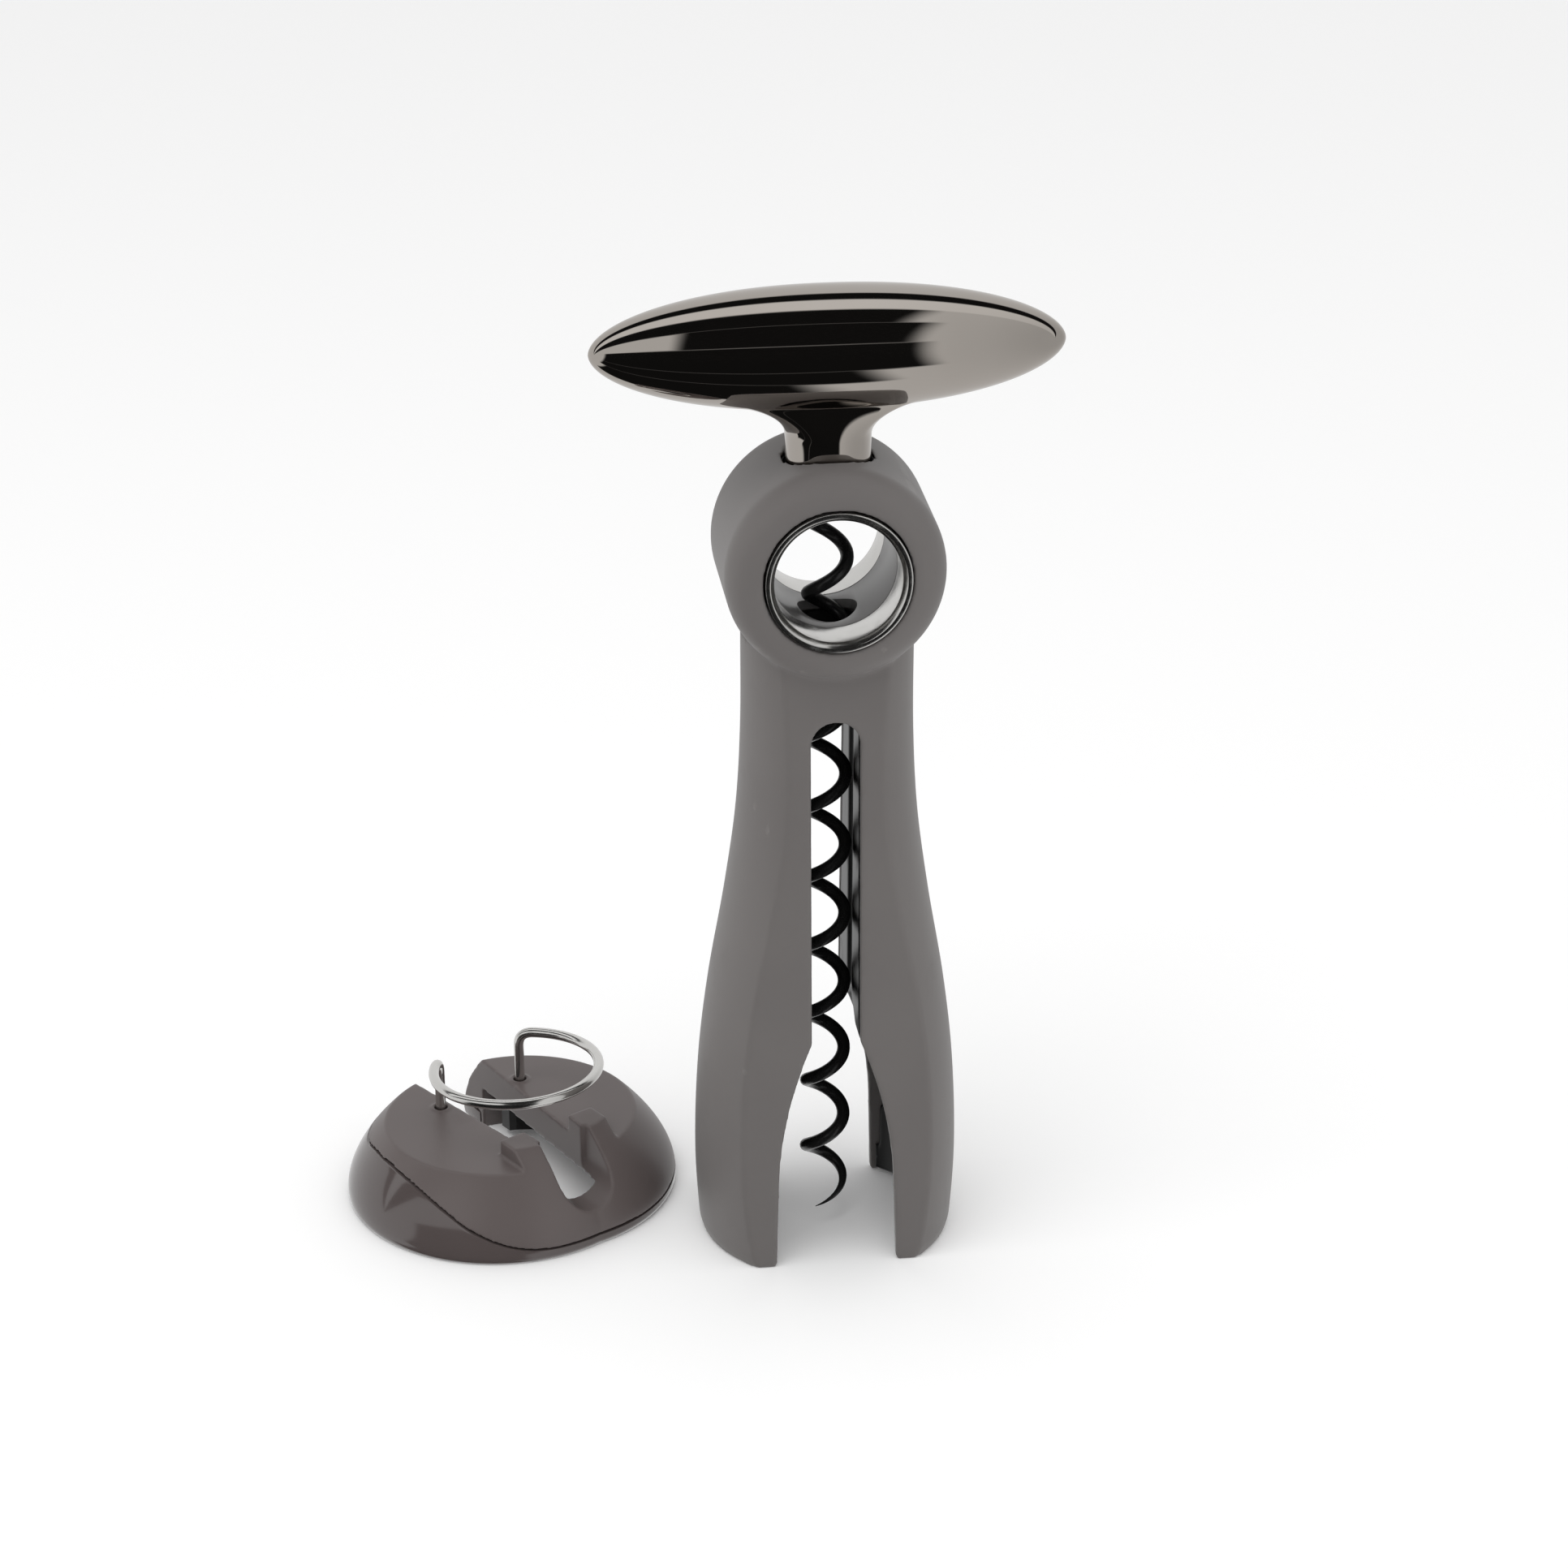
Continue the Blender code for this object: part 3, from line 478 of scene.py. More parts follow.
def leg_solid(z0, z1, inset):
    """Flared solid between two heights with its front and rear flats."""
    outline = [(0.0, z1)]
    for i in range(LEG_LEVELS + 1):
        z = z1 + (z0 - z1) * i / LEG_LEVELS
        outline.append((leg_radius(z) - inset, z))
    outline.append((0.0, z0))
    bm = spun(outline, ROUND_STEPS)
    lean = math.atan2(FLAT_AT_FOOT - FLAT_AT_NECK, 100 * MM)
    for side in (-1, 1):
        normal = Vector((0, side * math.cos(lean), math.sin(lean)))
        cut = bmesh.ops.bisect_plane(
            bm, geom=bm.verts[:] + bm.edges[:] + bm.faces[:], dist=1e-7,
            plane_co=(0, side * (FLAT_AT_FOOT - inset), 0), plane_no=normal, clear_outer=True,
        )
        rim = [item for item in cut["geom_cut"] if isinstance(item, bmesh.types.BMEdge)]
        bmesh.ops.holes_fill(bm, edges=rim, sides=0)
    bmesh.ops.recalc_face_normals(bm, faces=bm.faces)
    return bm


def gate_outline(grow=0.0):
    """Front view of the slot and of the gate that it opens into."""
    right = [(11.1 * MM + grow, -5 * MM), (10.5 * MM + grow, 14 * MM)]
    for i in range(1, 25):
        t = i / 24
        half = SLOT_HALF + (10.5 * MM - SLOT_HALF) * (1 - t ** 2)
        right.append((half + grow, (14 + 30 * t) * MM))
    arch = []
    for i in range(25):
        a = math.pi * i / 24
        across = (SLOT_HALF + grow) * math.cos(a)
        arch.append((across, SLOT_TOP - SLOT_HALF + (SLOT_HALF + grow) * math.sin(a)))
    return right + arch + [(-x, z) for x, z in reversed(right)]


print("the legs are", round(2 * leg_radius(16 * MM) / MM, 1), "mm across at the knees")

# %% [markdown]
# The head is the disc with a generous round on both rims. Turning it to face forwards and
# joining it to the legs leaves a step on the flats, which the voxels turn into the soft lip
# that a moulding has there.

# %% Head and body shell
HEAD_R = 19.1 * MM
HEAD_HALF = 15.15 * MM
HEAD_ROUND = 5.2 * MM
BORE_WALL_R = 12.6 * MM
BORE_R = 11.0 * MM
NECK_R = 7.5 * MM
FACING = Matrix.Translation((0, 0, HEAD_Z)) @ Matrix.Rotation(math.radians(90), 4, "X")


def head_solid():
    outline = [(0.0, HEAD_HALF)]
    for i in range(17):
        a = math.pi / 2 * i / 16
        reach = HEAD_R - HEAD_ROUND + HEAD_ROUND * math.sin(a)
        outline.append((reach, HEAD_HALF - HEAD_ROUND + HEAD_ROUND * math.cos(a)))
    outline += [(r, -z) for r, z in reversed(outline)]
    bm = spun(outline, ROUND_STEPS)
    bm.transform(FACING)
    return bm


bore = rod(BORE_WALL_R + GAP, -FAR, FAR, segments=128)
bore.transform(Matrix.Rotation(math.radians(1.4), 4, "Z"))
bore.transform(FACING)
body = carved("body", leg_solid(0.0, 118 * MM, 0.0), [
    ("DIFFERENCE", leg_solid(-2 * MM, SLOT_TOP - 1 * MM, SHELL_WALL)),
    ("DIFFERENCE", wall(gate_outline(), -FAR, FAR)),
    ("UNION", head_solid()),
    ("DIFFERENCE", bore),
    ("DIFFERENCE", rod(6.9 * MM, 99 * MM, 124 * MM)),
    ("DIFFERENCE", rod(NECK_R + 1.3 * MM, 142 * MM, 148.7 * MM)),
    ("DIFFERENCE", rod(NECK_R + 0.4 * MM, 148 * MM, 160 * MM)),
])
dressed(moulded(body, 0.42 * MM, 5, 0.5), "body_shell", soft_touch)

# %% [markdown]
# ## Linings and guide
# Each leg is lined in gloss black, and the lining is cut away inside to clear the bottle. It is
# made like the shell, set inwards by the wall and a small clearance, and split at the middle.

# %% Linings
CAVITY = [
    (0.0, 47 * MM), (5.2 * MM, 47 * MM), (10.2 * MM, 42 * MM), (16.3 * MM, 32 * MM),
    (18.8 * MM, 26 * MM), (18.8 * MM, -5 * MM), (0.0, -5 * MM),
]
for side, word in ((-1, "left"), (1, "right")):
    x_far = side * FAR
    lining = carved("lining", leg_solid(0.5 * MM, SLOT_TOP - 1.3 * MM, SHELL_WALL + GAP), [
        ("INTERSECT", box(min(0, x_far), max(0, x_far), -FAR, FAR, -FAR, 3 * FAR)),
        ("DIFFERENCE", wall(gate_outline(), -FAR, FAR)),
        ("DIFFERENCE", spun(CAVITY, ROUND_STEPS)),
        ("DIFFERENCE", rod(5.2 * MM, 36 * MM, 140 * MM)),
    ])
    dressed(moulded(lining, 0.42 * MM, 4, 0.6), word + "_leg_liner", liner_gloss)

# %% [markdown]
# ## Turned parts
# Rings, sleeve, guide, bush, wheels and axles are all turned, so each is an outline spun once.
# Their edges are eased with a small bevel, because a real turned edge always catches a line of
# light. The bright rings have a flat face and a wide inner bevel.

# %% Turned parts


def turned_piece(node, outline, material, at=AT_CORKSCREW, ease=0.12 * MM, steps=128):
    obj = to_object(node, spun(outline, steps, closed=True))
    return dressed(eased(obj, ease, 2, 25), node, material, at, sharp=35)


def tube(outer, inner, z0, z1):
    return [(outer, z1), (outer, z0), (inner, z0), (inner, z1)]


ring_front = 15.55 * MM
ring_outline = [
    (12.45 * MM, ring_front), (BORE_WALL_R, ring_front - 0.15 * MM), (BORE_WALL_R, 7.7 * MM),
    (BORE_R, 7.7 * MM), (BORE_R, ring_front - 1.1 * MM), (11.75 * MM, ring_front),
]
for node, turn in (("front_bore_ring", 90), ("rear_bore_ring", -90)):
    facing = Matrix.Translation((0, 0, HEAD_Z)) @ Matrix.Rotation(math.radians(turn), 4, "X")
    turned_piece(node, ring_outline, turned_steel, AT_CORKSCREW @ facing, 0.1 * MM, 160)

sleeve = spun(tube(BORE_WALL_R, BORE_R, -7.4 * MM, 7.4 * MM), 160, closed=True)
sleeve.transform(FACING)
sleeve = carved("sleeve", sleeve, [
    ("DIFFERENCE", rod(5.2 * MM, HEAD_Z - HEAD_R, HEAD_Z)),
    ("DIFFERENCE", rod(5.6 * MM, HEAD_Z, HEAD_Z + HEAD_R)),
])
dressed(eased(sleeve, 0.12 * MM, 2, 30), "bore_sleeve", sleeve_grey, sharp=35)
turned_piece("worm_guide", tube(6.6 * MM, 5.2 * MM, 104.4 * MM, 119 * MM), recess_black)
turned_piece("neck_bush", tube(8.5 * MM, 7.8 * MM, 145.8 * MM, 148.4 * MM), recess_black)

# %% [markdown]
# ## The handle
# The grip is a barrel spun about the X axis. Its neck must flow out of its underside with no
# seam, since a mirror finish shows every kink. So a patch of faces is taken out below, and the
# open rim is drawn down to a round neck, ring by ring, along curves that leave the barrel along
# its own surface. Subdivision then makes both one skin.

# %% Handle
HANDLE_Z = 168.91 * MM
HANDLE_HALF = 40.58 * MM
HANDLE_R = 10.74 * MM
PATCH_HALF = 15 * MM
PATCH_ANGLE = 34.0
NECK_TOP_Z = 153.6 * MM
FLOW_STEPS = 9


def barrel_radius(x):
    t = min(1.0, abs(x) / HANDLE_HALF)
    return HANDLE_R * (1 - t ** 2.14) ** 0.54


def barrel():
    """Grip about X: even rings over the neck, closer rings towards both tips."""
    tip = [PATCH_HALF + (HANDLE_HALF - PATCH_HALF) * math.sin(math.pi / 2 * j / 14) for j in range(1, 15)]
    middle = [PATCH_HALF * (1 - i / 7) for i in range(15)]
    stations = list(reversed(tip)) + middle + [-x for x in tip]
    bm = spun([(barrel_radius(x), x) for x in stations], 32)
    bm.transform(Matrix.Rotation(math.radians(90), 4, "Y"))
    return bm


def patch_faces(bm):
    found = []
    for face in bm.faces:
        c = face.calc_center_median()
        around = math.degrees(math.atan2(c.y, -c.z))
        if abs(c.x) < PATCH_HALF and abs(around) < PATCH_ANGLE:
            found.append(face)
    return found


def flow_point(start, t):
    """Point on the curve from a spot on the barrel to the top of the neck."""
    angle = math.atan2(start.y / (6.0 * MM), start.x / PATCH_HALF)
    finish_at = Vector((NECK_R * math.cos(angle), NECK_R * math.sin(angle), NECK_TOP_Z - HANDLE_Z))
    normal = Vector((0, start.y, start.z)).normalized()
    inwards = Vector((-start.x, -start.y, -HANDLE_R - start.z))
    along = (inwards - normal * inwards.dot(normal)).normalized()
    reach = (finish_at - start).length
    pull = (0.12 + 0.88 * math.cos(angle) ** 2) * reach
    drop = Vector((0, 0, -1)) * reach * 0.95
    h1 = 2 * t ** 3 - 3 * t ** 2 + 1
    h2 = t ** 3 - 2 * t ** 2 + t
    h3 = -2 * t ** 3 + 3 * t ** 2
    h4 = t ** 3 - t ** 2
    return start * h1 + along * pull * h2 + finish_at * h3 + drop * h4


def drawn_ring(bm, rim, moves):
    """Extrude an open rim and put each new point where moves says."""
    grown = bmesh.ops.extrude_edge_only(bm, edges=rim)["geom"]
    verts = [item for item in grown if isinstance(item, bmesh.types.BMVert)]
    edges = [item for item in grown if isinstance(item, bmesh.types.BMEdge)]
    for vert in verts:
        vert.co = moves(vert)
    return [edge for edge in edges if edge.is_boundary]


handle = barrel()
bmesh.ops.delete(handle, geom=patch_faces(handle), context="FACES")
rim = [edge for edge in handle.edges if edge.is_boundary]
origin_layer = handle.verts.layers.float_vector.new("origin")
for vert in handle.verts:
    vert[origin_layer] = vert.co
for step in range(1, FLOW_STEPS + 1):
    rim = drawn_ring(handle, rim, lambda v: flow_point(v[origin_layer].copy(), step / FLOW_STEPS))


def at_radius(radius, z):
    def move(vert):
        flat = Vector((vert.co.x, vert.co.y, 0)).normalized() * radius
        return Vector((flat.x, flat.y, z - HANDLE_Z))
    return move


for radius, z in ((7.5, 150.2), (7.5, 148.0), (7.5, 146.2), (7.42, 145.7), (7.2, 145.5), (5.4, 145.5),
                  (5.1, 145.52), (4.9, 145.7), (4.9, 146.2), (4.9, 152.0), (4.9, 158.8), (4.9, 159.3),
                  (4.4, 159.35), (2.0, 159.35)):
    rim = drawn_ring(handle, rim, at_radius(radius * MM, z * MM))
bmesh.ops.holes_fill(handle, edges=rim, sides=0)
bmesh.ops.remove_doubles(handle, verts=handle.verts, dist=0.001 * MM)
bmesh.ops.recalc_face_normals(handle, faces=handle.faces)
handle.transform(Matrix.Translation((0, 0, HANDLE_Z)))
handle_object = to_object("handle", handle)
skin = handle_object.modifiers.new("skin", "SUBSURF")
skin.levels = 2
skin.render_levels = 2
dressed(settle(handle_object), "handle", dark_chrome)

# %% [markdown]
# ## The worm
# The worm is a round wire on a right-hand helix, ground to a point at the bottom. At the top the
# wire swings in to the axis and runs up into its hub. It is swept as a curve whose points carry
# their own radius, and then made a mesh.

# %% Wires


def swept(name, points, radii, wire_r, resolution):
    curve = bpy.data.curves.new(name, "CURVE")
    curve.dimensions = "3D"
    curve.bevel_depth = wire_r
    curve.bevel_resolution = resolution
    curve.use_fill_caps = True
    spline = curve.splines.new("POLY")
    spline.points.add(len(points) - 1)
    for item, co, radius in zip(spline.points, points, radii):
        item.co = (*co, 1.0)
        item.radius = radius
    holder = bpy.data.objects.new(name, curve)
    bpy.context.scene.collection.objects.link(holder)
    bm = bmesh.new()
    bm.from_mesh(bpy.data.meshes.new_from_object(holder))
    bpy.data.objects.remove(holder, do_unlink=True)
    bmesh.ops.remove_doubles(bm, verts=bm.verts, dist=0.002 * MM)
    bmesh.ops.recalc_face_normals(bm, faces=bm.faces)
    return to_object(name, bm)


# %% [markdown]
# The wire keeps its full thickness down to its last turn and is then drawn to a point. The
# helix stops below the neck, and eased steps carry it in to the axis.

# %% Worm
WIRE_R = 1.18 * MM
HELIX_R = 4.58 * MM - WIRE_R
PITCH = 13.67 * MM
PHASE_Z = 131.4 * MM
TIP_Z = 3.6 * MM
WORM_TOP_Z = 142.0 * MM
STEPS_PER_TURN = 44
POINT_STEPS = 34
POINT_SHARE = 0.06
RISE = 6 * MM
RISE_TURN = 0.6
RISE_STEPS = 24
SHANK_END_Z = 157 * MM


def helix(z):
    turn = math.tau * (z - PHASE_Z) / PITCH
    return Vector((HELIX_R * math.cos(turn), HELIX_R * math.sin(turn), z))


count = round((WORM_TOP_Z - TIP_Z) / PITCH * STEPS_PER_TURN)
path = [helix(TIP_Z + (WORM_TOP_Z - TIP_Z) * i / count) for i in range(count + 1)]
radii = []
for i in range(count + 1):
    grown = math.sin(math.pi / 2 * min(1.0, i / POINT_STEPS))
    radii.append(min(1.0, POINT_SHARE + (1 - POINT_SHARE) * grown))
for i in range(1, RISE_STEPS + 1):
    t = i / RISE_STEPS
    swing = helix(WORM_TOP_Z + RISE * t * RISE_TURN) * (1 - smooth_step(t))
    path.append(Vector((swing.x, swing.y, WORM_TOP_Z + RISE * t)))
    radii.append(1.0)
path.append(Vector((0, 0, SHANK_END_Z)))
radii.append(1.0)
dressed(swept("worm", path, radii, WIRE_R, 5), "worm", worm_coat, sharp=60)

# %% [markdown]
# ## The foil cutter's upper shell
# The cutter is a low dome split into two jaws by a wedge-shaped slot. Each half is the dome's
# outline spun, cut along the slot, levelled to a flat seat that leaves a horn beside the notch,
# and undercut along the groove that sweeps round its side. A small raised collar takes each leg
# of the wire ring. The halves overlap a little at the closed end, where the voxels make them
# one skin, and that end bends when the jaws are squeezed.

# %% Cutter shapes
SEAT_Z = 14.7 * MM
HORN_Z = 17.8 * MM
JAW_SHIFT = 2.4 * MM
BRIDGE_Y = -20.5 * MM
NOTCH_HALF = 5.4 * MM
NOTCH_Z = 6.6 * MM
HORN_HALF = 10.3 * MM
HORN_BACK_Y = -11.5 * MM
BAND_IN_R = 22.6 * MM
GROOVES = {
    -1: ((0.0, 2.0), (20.0, 2.3), (32.0, 3.5), (45.0, 5.9), (57.0, 8.6),
         (72.0, 10.9), (90.0, 12.0), (110.0, 11.7), (125.0, 10.6), (180.0, 9.8)),
    1: ((0.0, 2.0), (30.0, 1.9), (60.0, 2.2), (180.0, 2.6)),
}
LOOP_R = 15.3 * MM
LOOP_Y = -2.4 * MM
LOOP_Z = 25.3 * MM
LOOP_TILT = 0.06
LEG_ANGLE = math.radians(54.0)
FOOT_X = LOOP_R * math.cos(LEG_ANGLE)
FOOT_Y = LOOP_Y + LOOP_R * math.sin(LEG_ANGLE)
SPRING_R = 0.95 * MM
SPRING_BOTTOM_Z = 11.6 * MM
CUP_R = 21.2 * MM
CUP_TOP = 8.4 * MM


def dome_radius(z):
    t = max(0.0, z - 2.0 * MM) / (SEAT_Z - 2.0 * MM)
    return (28.8 - 7.4 * t ** 1.7) * MM


def dome():
    outline = [(0.0, HORN_Z)]
    for i in range(41):
        z = HORN_Z + (2.0 * MM - HORN_Z) * i / 40
        outline.append((dome_radius(z), z))
    outline += [(28.66 * MM, 1.0 * MM), (28.2 * MM, 0.0), (0.0, 0.0)]
    return spun(outline, 160)


def groove_height(x, y, side):
    around = abs(math.degrees(math.atan2(x, -y)))
    return eased_through(GROOVES[side], around) * MM


def jaw_plan(side):
    """Plan outline of one jaw: just over the middle at the bridge, then the widening slot wall."""
    slope = (7.4 - 5.0) * MM / (20 * MM - HORN_BACK_Y)
    near = 5.0 * MM + slope * (BRIDGE_Y - HORN_BACK_Y)
    far = 5.0 * MM + slope * (FAR - HORN_BACK_Y)
    corner = 1.2 * MM
    seam = -0.05 * MM
    plan = [
        (seam, -FAR), (FAR, -FAR), (FAR, FAR), (far, FAR),
        (near, BRIDGE_Y + corner), (near - corner, BRIDGE_Y), (seam, BRIDGE_Y),
    ]
    return plan if side > 0 else [(-x, y) for x, y in reversed(plan)]


def notch():
    outline = [(NOTCH_HALF, FAR)]
    for i in range(33):
        a = math.pi * i / 32
        outline.append((NOTCH_HALF * math.cos(a), NOTCH_Z + NOTCH_HALF * (1 - math.sin(a))))
    return wall(outline + [(-NOTCH_HALF, FAR)], -FAR, -16.5 * MM)


def above_seat():
    return slab([
        (FAR, -FAR), (FAR, FAR), (-FAR, FAR), (-FAR, -FAR),
        (-HORN_HALF, -FAR), (-HORN_HALF, HORN_BACK_Y), (HORN_HALF, HORN_BACK_Y), (HORN_HALF, -FAR),
    ], SEAT_Z, FAR)


def groove_ring(side, grow):
    """Ring below the groove, its top edge swept up from the low line to the high line."""
    inner = BAND_IN_R - grow
    bm = spun([(inner, -5 * MM), (inner, 1 * MM), (34 * MM, 1 * MM), (34 * MM, -5 * MM)], 149, closed=True)
    for vert in bm.verts:
        if vert.co.z > 0:
            vert.co.z = groove_height(vert.co.x, vert.co.y, side) + grow
    bm.transform(Matrix.Translation((side * JAW_SHIFT, 0, 0)))
    return bm


# %% [markdown]
# The two jaws are one skin at the closed end, and that skin stands for the solids of both jaws,
# which are hidden.


def bends_at_bridge(obj, right_node):
    """Let one skin stand for both jaws: hide both jaw solids and bake the skin's placement into its mesh.
    """
    left_node = right_node.replace("right", "left")
    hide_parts(left_node, right_node)
    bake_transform(obj)


# %% [markdown]
# Each half is carved with exact Booleans. Both halves then go into one mesh, because the voxels
# join whatever overlaps.

# %% Upper shell
upper_halves = bmesh.new()
for side in (-1, 1):
    blank = dome()
    blank.transform(Matrix.Translation((side * JAW_SHIFT, 0, 0)))
    cup = rod(CUP_R, -5 * MM, CUP_TOP, side * JAW_SHIFT, segments=124)
    hole_x = side * FOOT_X
    half = carved("half", blank, [
        ("INTERSECT", slab(jaw_plan(side), -FAR, FAR)),
        ("DIFFERENCE", notch()),
        ("DIFFERENCE", cup),
        ("DIFFERENCE", above_seat()),
        ("DIFFERENCE", groove_ring(side, GAP)),
        ("UNION", rod(2.1 * MM, SEAT_Z - 1 * MM, SEAT_Z + 0.3 * MM, hole_x, FOOT_Y, 1.7 * MM, 48)),
        ("DIFFERENCE", rod(SPRING_R + GAP, 11.3 * MM, FAR, hole_x, FOOT_Y, None, 48)),
    ])
    upper_halves.from_mesh(half.data)
    bpy.data.objects.remove(half, do_unlink=True)
upper = moulded(to_object("upper", upper_halves), 0.28 * MM, 5, 0.5)
upper = dressed(upper, "cutter_upper_left", cutter_satin, AT_CUTTER, rides=False)
bends_at_bridge(upper, "cutter_upper_right")

# %% [markdown]
# ## The foil cutter's lower shell
# Below the groove the skin is high gloss, so voxels would show. Instead a section of the band is
# spun with its heights as shares of the full height, and each point is then set to the height of
# the groove at its own angle. Only the ends are cut, the halves are joined at the closed end,
# and the top edge is eased.

# %% Lower shell


def band_section():
    outer = [(30 * MM, i / 16 * MM) for i in range(16, -1, -1)]
    return outer + [(24 * MM, 0.0), (24 * MM, 1 * MM)]


def band_half(side):
    band = spun(band_section(), 180, closed=True)
    for vert in band.verts:
        share = vert.co.z / MM
        around = Vector((vert.co.x, vert.co.y)).normalized()
        z = share * groove_height(around.x, around.y, side)
        outer = Vector((vert.co.x, vert.co.y)).length > 27 * MM
        radius = dome_radius(z) - 0.6 * MM * max(0.0, 1 - z / (1.2 * MM)) ** 2 if outer else BAND_IN_R
        vert.co = (around.x * radius, around.y * radius, z)
    band.transform(Matrix.Translation((side * JAW_SHIFT, 0, 0)))
    half = carved("half", band, [("INTERSECT", slab(jaw_plan(side), -FAR, FAR))])
    bm = bmesh.new()
    bm.from_mesh(half.data)
    bpy.data.objects.remove(half, do_unlink=True)
    return bm


lower = eased(carved("lower", band_half(-1), [("UNION", band_half(1))]), 0.18 * MM, 3, 35)
lower = dressed(lower, "cutter_lower_left", cutter_gloss, AT_CUTTER, sharp=40, rides=False)
bends_at_bridge(lower, "cutter_lower_right")

# %% [markdown]
# ## The wire ring
# One polished wire makes the open ring, and its two ends bend down into the jaws. Each bend is a
# short curve drawn between the leg and the ring, with the corner as its control point.

# %% Wire ring
BEND_R = 2.6 * MM
LOOP_STEPS = 120
left_end = math.pi - LEG_ANGLE
sweep = math.tau - (left_end - LEG_ANGLE)
bend_turn = BEND_R / LOOP_R


def on_loop(angle):
    y = LOOP_Y + LOOP_R * math.sin(angle)
    return Vector((LOOP_R * math.cos(angle), y, LOOP_Z - LOOP_TILT * y))


def bend(angle, ahead):
    """Leg and bend at one end of the ring, from the bottom up."""
    corner = on_loop(angle)
    low = corner - Vector((0, 0, BEND_R))
    bottom = Vector((corner.x, corner.y, SPRING_BOTTOM_Z))
    points = [bottom, (low + bottom) / 2]
    for i in range(11):
        t = i / 10
        points.append(low * (1 - t) ** 2 + corner * 2 * t * (1 - t) + ahead * t ** 2)
    return points


start_angle = left_end + bend_turn
end_angle = left_end + sweep - bend_turn
arc = [on_loop(start_angle + (end_angle - start_angle) * i / LOOP_STEPS) for i in range(1, LOOP_STEPS)]
first = bend(left_end, on_loop(start_angle))
last = bend(left_end + sweep, on_loop(end_angle))
wire = first + arc + last[::-1]
dressed(
    swept("wire", wire, [1.0] * len(wire), SPRING_R, 6), "spring_wire", polished_steel, AT_CUTTER, sharp=60,
)

# %% [markdown]
# ## Wheels, axles and what stays
# The four small cutting wheels sit under the dome on their axles. They are spun like the rings.
# The carriers and the hub keep their solids, and only get a finish.

# %% Wheels and axles
WHEEL_R = 3.4 * MM
WHEEL_RING_R = 17.4 * MM
WHEEL_Z = 5.2 * MM
WHEEL_ANGLE = math.radians(38.0)
wheel_outline = [
    (2.2 * MM, 0.4 * MM), (WHEEL_R, 0.03 * MM), (WHEEL_R, -0.03 * MM),
    (2.2 * MM, -0.4 * MM), (1.1 * MM, -0.4 * MM), (1.1 * MM, 0.4 * MM),
]
axle_outline = [(0.0, 7.2 * MM), (0.8 * MM, 7.2 * MM), (0.8 * MM, 2 * MM), (0.0, 2 * MM)]
for side, word in ((-1, "left"), (1, "right")):
    for end, where in ((-1, "front"), (1, "back")):
        lean = WHEEL_ANGLE * end
        x = side * (JAW_SHIFT + WHEEL_RING_R * math.cos(lean))
        y = WHEEL_RING_R * math.sin(lean)
        wheel_at = AT_CUTTER @ Matrix.Translation((x, y, WHEEL_Z))
        spot = word + "_" + where
        turned_piece("cutting_wheel_" + spot, wheel_outline, blade_steel, wheel_at, 0.01 * MM, 72)
        axle = to_object("axle", spun(axle_outline, 32))
        axle_at = AT_CUTTER @ Matrix.Translation((x, y, 0))
        dressed(eased(axle, 0.1 * MM, 2, 40), "wheel_axle_" + spot, polished_steel, axle_at, 40)

for node, material in (
    ("wheel_carrier_left", recess_black), ("wheel_carrier_right", recess_black), ("worm_hub", turned_steel),
):
    holder = frame["nodes"][node]
    for slot in holder.material_slots:
        slot.material = material
    print(node, "keeps its solid, finished in", material.name)

# %% [markdown]
# ## Floor, light and camera
# The floor is a pale sheet that mirrors do not see. Everything matt is lit evenly by a bright
# room with a soft box above. Polished parts need something to mirror, so only mirror rays see
# the dark panels.

# %% Floor
floor_mesh = bmesh.new()
bmesh.ops.create_grid(floor_mesh, x_segments=1, y_segments=1, size=3.0)
floor = to_object("floor", floor_mesh)
floor_finish = bpy.data.materials.new("pale_floor")
floor_finish.use_nodes = True
paint = floor_finish.node_tree.nodes["Principled BSDF"]
paint.inputs["Base Color"].default_value = (0.97, 0.97, 0.97, 1.0)
paint.inputs["Emission Color"].default_value = (1.0, 1.0, 1.0, 1.0)
paint.inputs["Emission Strength"].default_value = 0.07
paint.inputs["Roughness"].default_value = 0.9
paint.inputs["Specular IOR Level"].default_value = 0.1
floor.data.materials.append(floor_finish)
floor.visible_glossy = False

# %% [markdown]
# The room is a set of dark panels on a light ground. Two angles place a panel: how far it is
# over the top from the front horizon, and how far it is aside.

# %% Room
room = bpy.data.worlds.new("room")
bpy.context.scene.world = room
room.use_nodes = True
tree = room.node_tree
tree.nodes.clear()
direction = tree.nodes.new("ShaderNodeTexCoord").outputs["Generated"]
turned = tree.nodes.new("ShaderNodeVectorRotate")
turned.rotation_type = "Z_AXIS"
turned.inputs["Angle"].default_value = math.radians(7.2)
tree.links.new(direction, turned.inputs["Vector"])
split = tree.nodes.new("ShaderNodeSeparateXYZ")
tree.links.new(turned.outputs[0], split.inputs[0])


def maths(operation, *values):
    node = tree.nodes.new("ShaderNodeMath")
    node.operation = operation
    for socket, value in zip(node.inputs, values):
        if isinstance(value, (int, float)):
            socket.default_value = value
        else:
            tree.links.new(value, socket)
    return node.outputs[0]


over = maths("ARCTAN2", split.outputs["Z"], maths("MULTIPLY", split.outputs["Y"], -1.0))
aside = maths("ARCSINE", split.outputs["X"])


def band_mask(value, low, high, soft):
    """1 between two angles in degrees, with soft edges."""
    rise = ramp_between(tree, value, math.radians(low - soft), math.radians(low + soft), 0.0, 1.0)
    fall = ramp_between(tree, value, math.radians(high - soft), math.radians(high + soft), 1.0, 0.0)
    return maths("MULTIPLY", rise, fall)


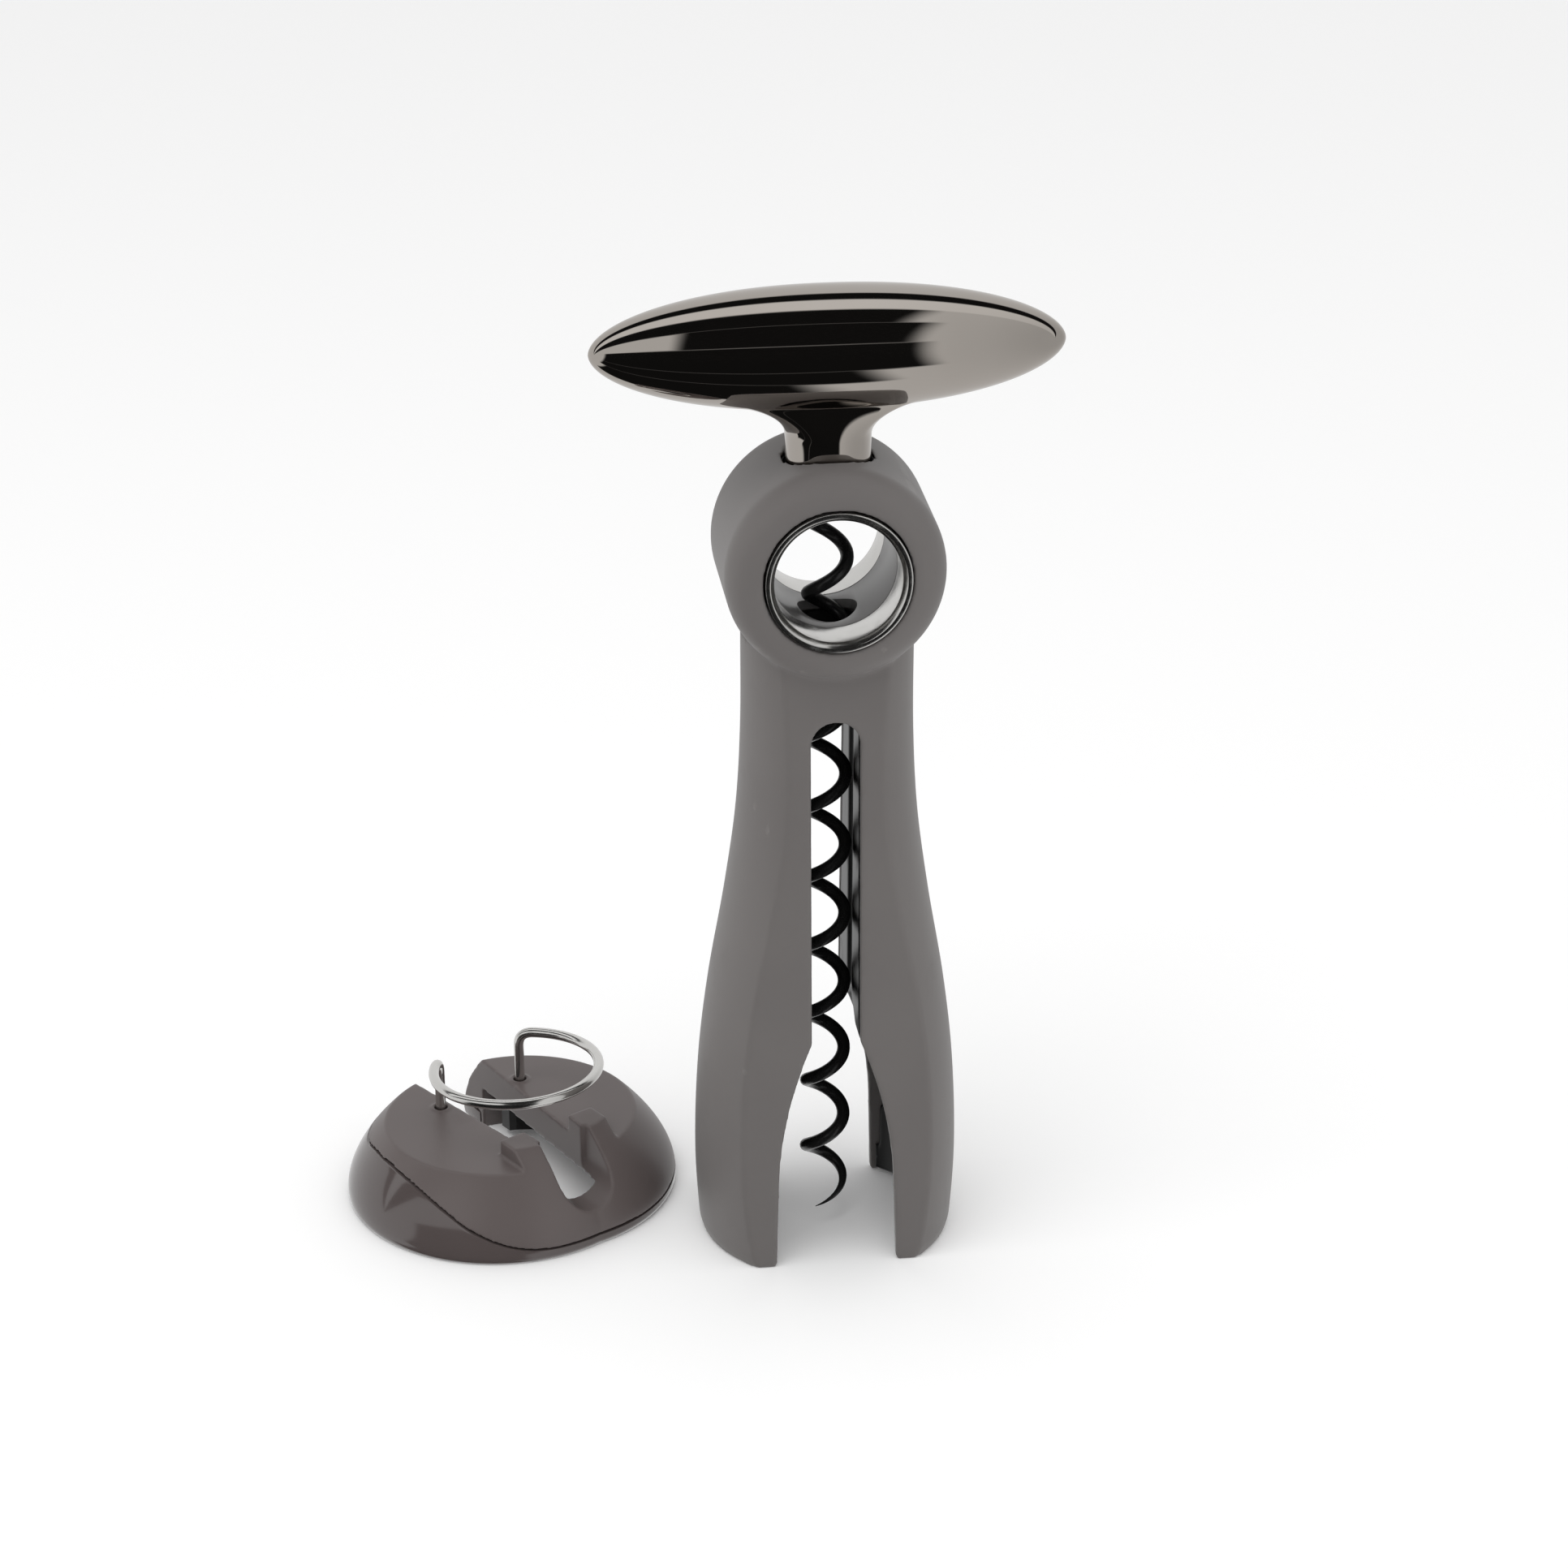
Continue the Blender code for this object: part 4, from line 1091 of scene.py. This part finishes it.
# lowest and highest angle over the top, then leftmost and rightmost angle aside, in degrees
DARK_PANELS = (
    (111, 129, -95, 95), (59, 88, -95, 21), (20, 61, -15, 26), (-31, 21, -60, 28),
    (-56, -29, -60, 18), (-98, -54, -50, 9),
)
dark = 0.0
for low, high, left, right in DARK_PANELS:
    panel = maths("MULTIPLY", band_mask(over, low, high, 2.0), band_mask(aside, left, right, 3.0))
    dark = maths("MAXIMUM", dark, panel)
strip = band_mask(over, 88, 111, 1.5)
fade = ramp_between(tree, aside, math.radians(10), math.radians(70), 0.12, -0.12)
level = maths("ADD", maths("ADD", 0.84, maths("MULTIPLY", strip, 0.25)), fade)
mirrored = maths("ADD", maths("MULTIPLY", level, maths("SUBTRACT", 1.0, dark)), 0.012)

rays = tree.nodes.new("ShaderNodeLightPath")
plain = tree.nodes.new("ShaderNodeBackground")
plain.inputs["Strength"].default_value = 1.02
boxes = tree.nodes.new("ShaderNodeBackground")
tree.links.new(mirrored, boxes.inputs["Strength"])
choose = tree.nodes.new("ShaderNodeMixShader")
tree.links.new(rays.outputs["Is Glossy Ray"], choose.inputs[0])
tree.links.new(plain.outputs[0], choose.inputs[1])
tree.links.new(boxes.outputs[0], choose.inputs[2])
world_out = tree.nodes.new("ShaderNodeOutputWorld")
tree.links.new(choose.outputs[0], world_out.inputs[0])

# %% [markdown]
# The soft box gives the grey coat its broad shade. Mirrors do not see it.

# %% Soft box
lamp = bpy.data.lights.new("soft_box", "AREA")
lamp.shape = "RECTANGLE"
lamp.size = 0.9
lamp.size_y = 0.7
lamp.energy = 4.0
lamp_object = bpy.data.objects.new("soft_box", lamp)
lamp_object.location = (-0.25, -0.35, 1.1)
lamp_object.rotation_euler = (math.radians(-18), math.radians(-13), 0)
lamp_object.visible_glossy = False
bpy.context.scene.collection.objects.link(lamp_object)

# %% [markdown]
# The camera looks down a little, with a long lens.

# %% Camera
camera = bpy.data.cameras.new("camera")
camera.sensor_width = 36.0
camera.lens = 89.31
camera.clip_end = 20.0
camera_object = bpy.data.objects.new("camera", camera)
camera_object.location = AXIS + Vector((-85.6 * MM, -619.4 * MM, 373.3 * MM))
camera_object.rotation_euler = (math.radians(90 - 24.525), 0, math.radians(-7.184))
bpy.context.scene.collection.objects.link(camera_object)
bpy.context.scene.camera = camera_object
bpy.context.scene.view_settings.view_transform = "Standard"

# %% [markdown]
# ## Sizes
# The finished model has to keep the size of the jointed one.

# %% Sizes and finish
import json
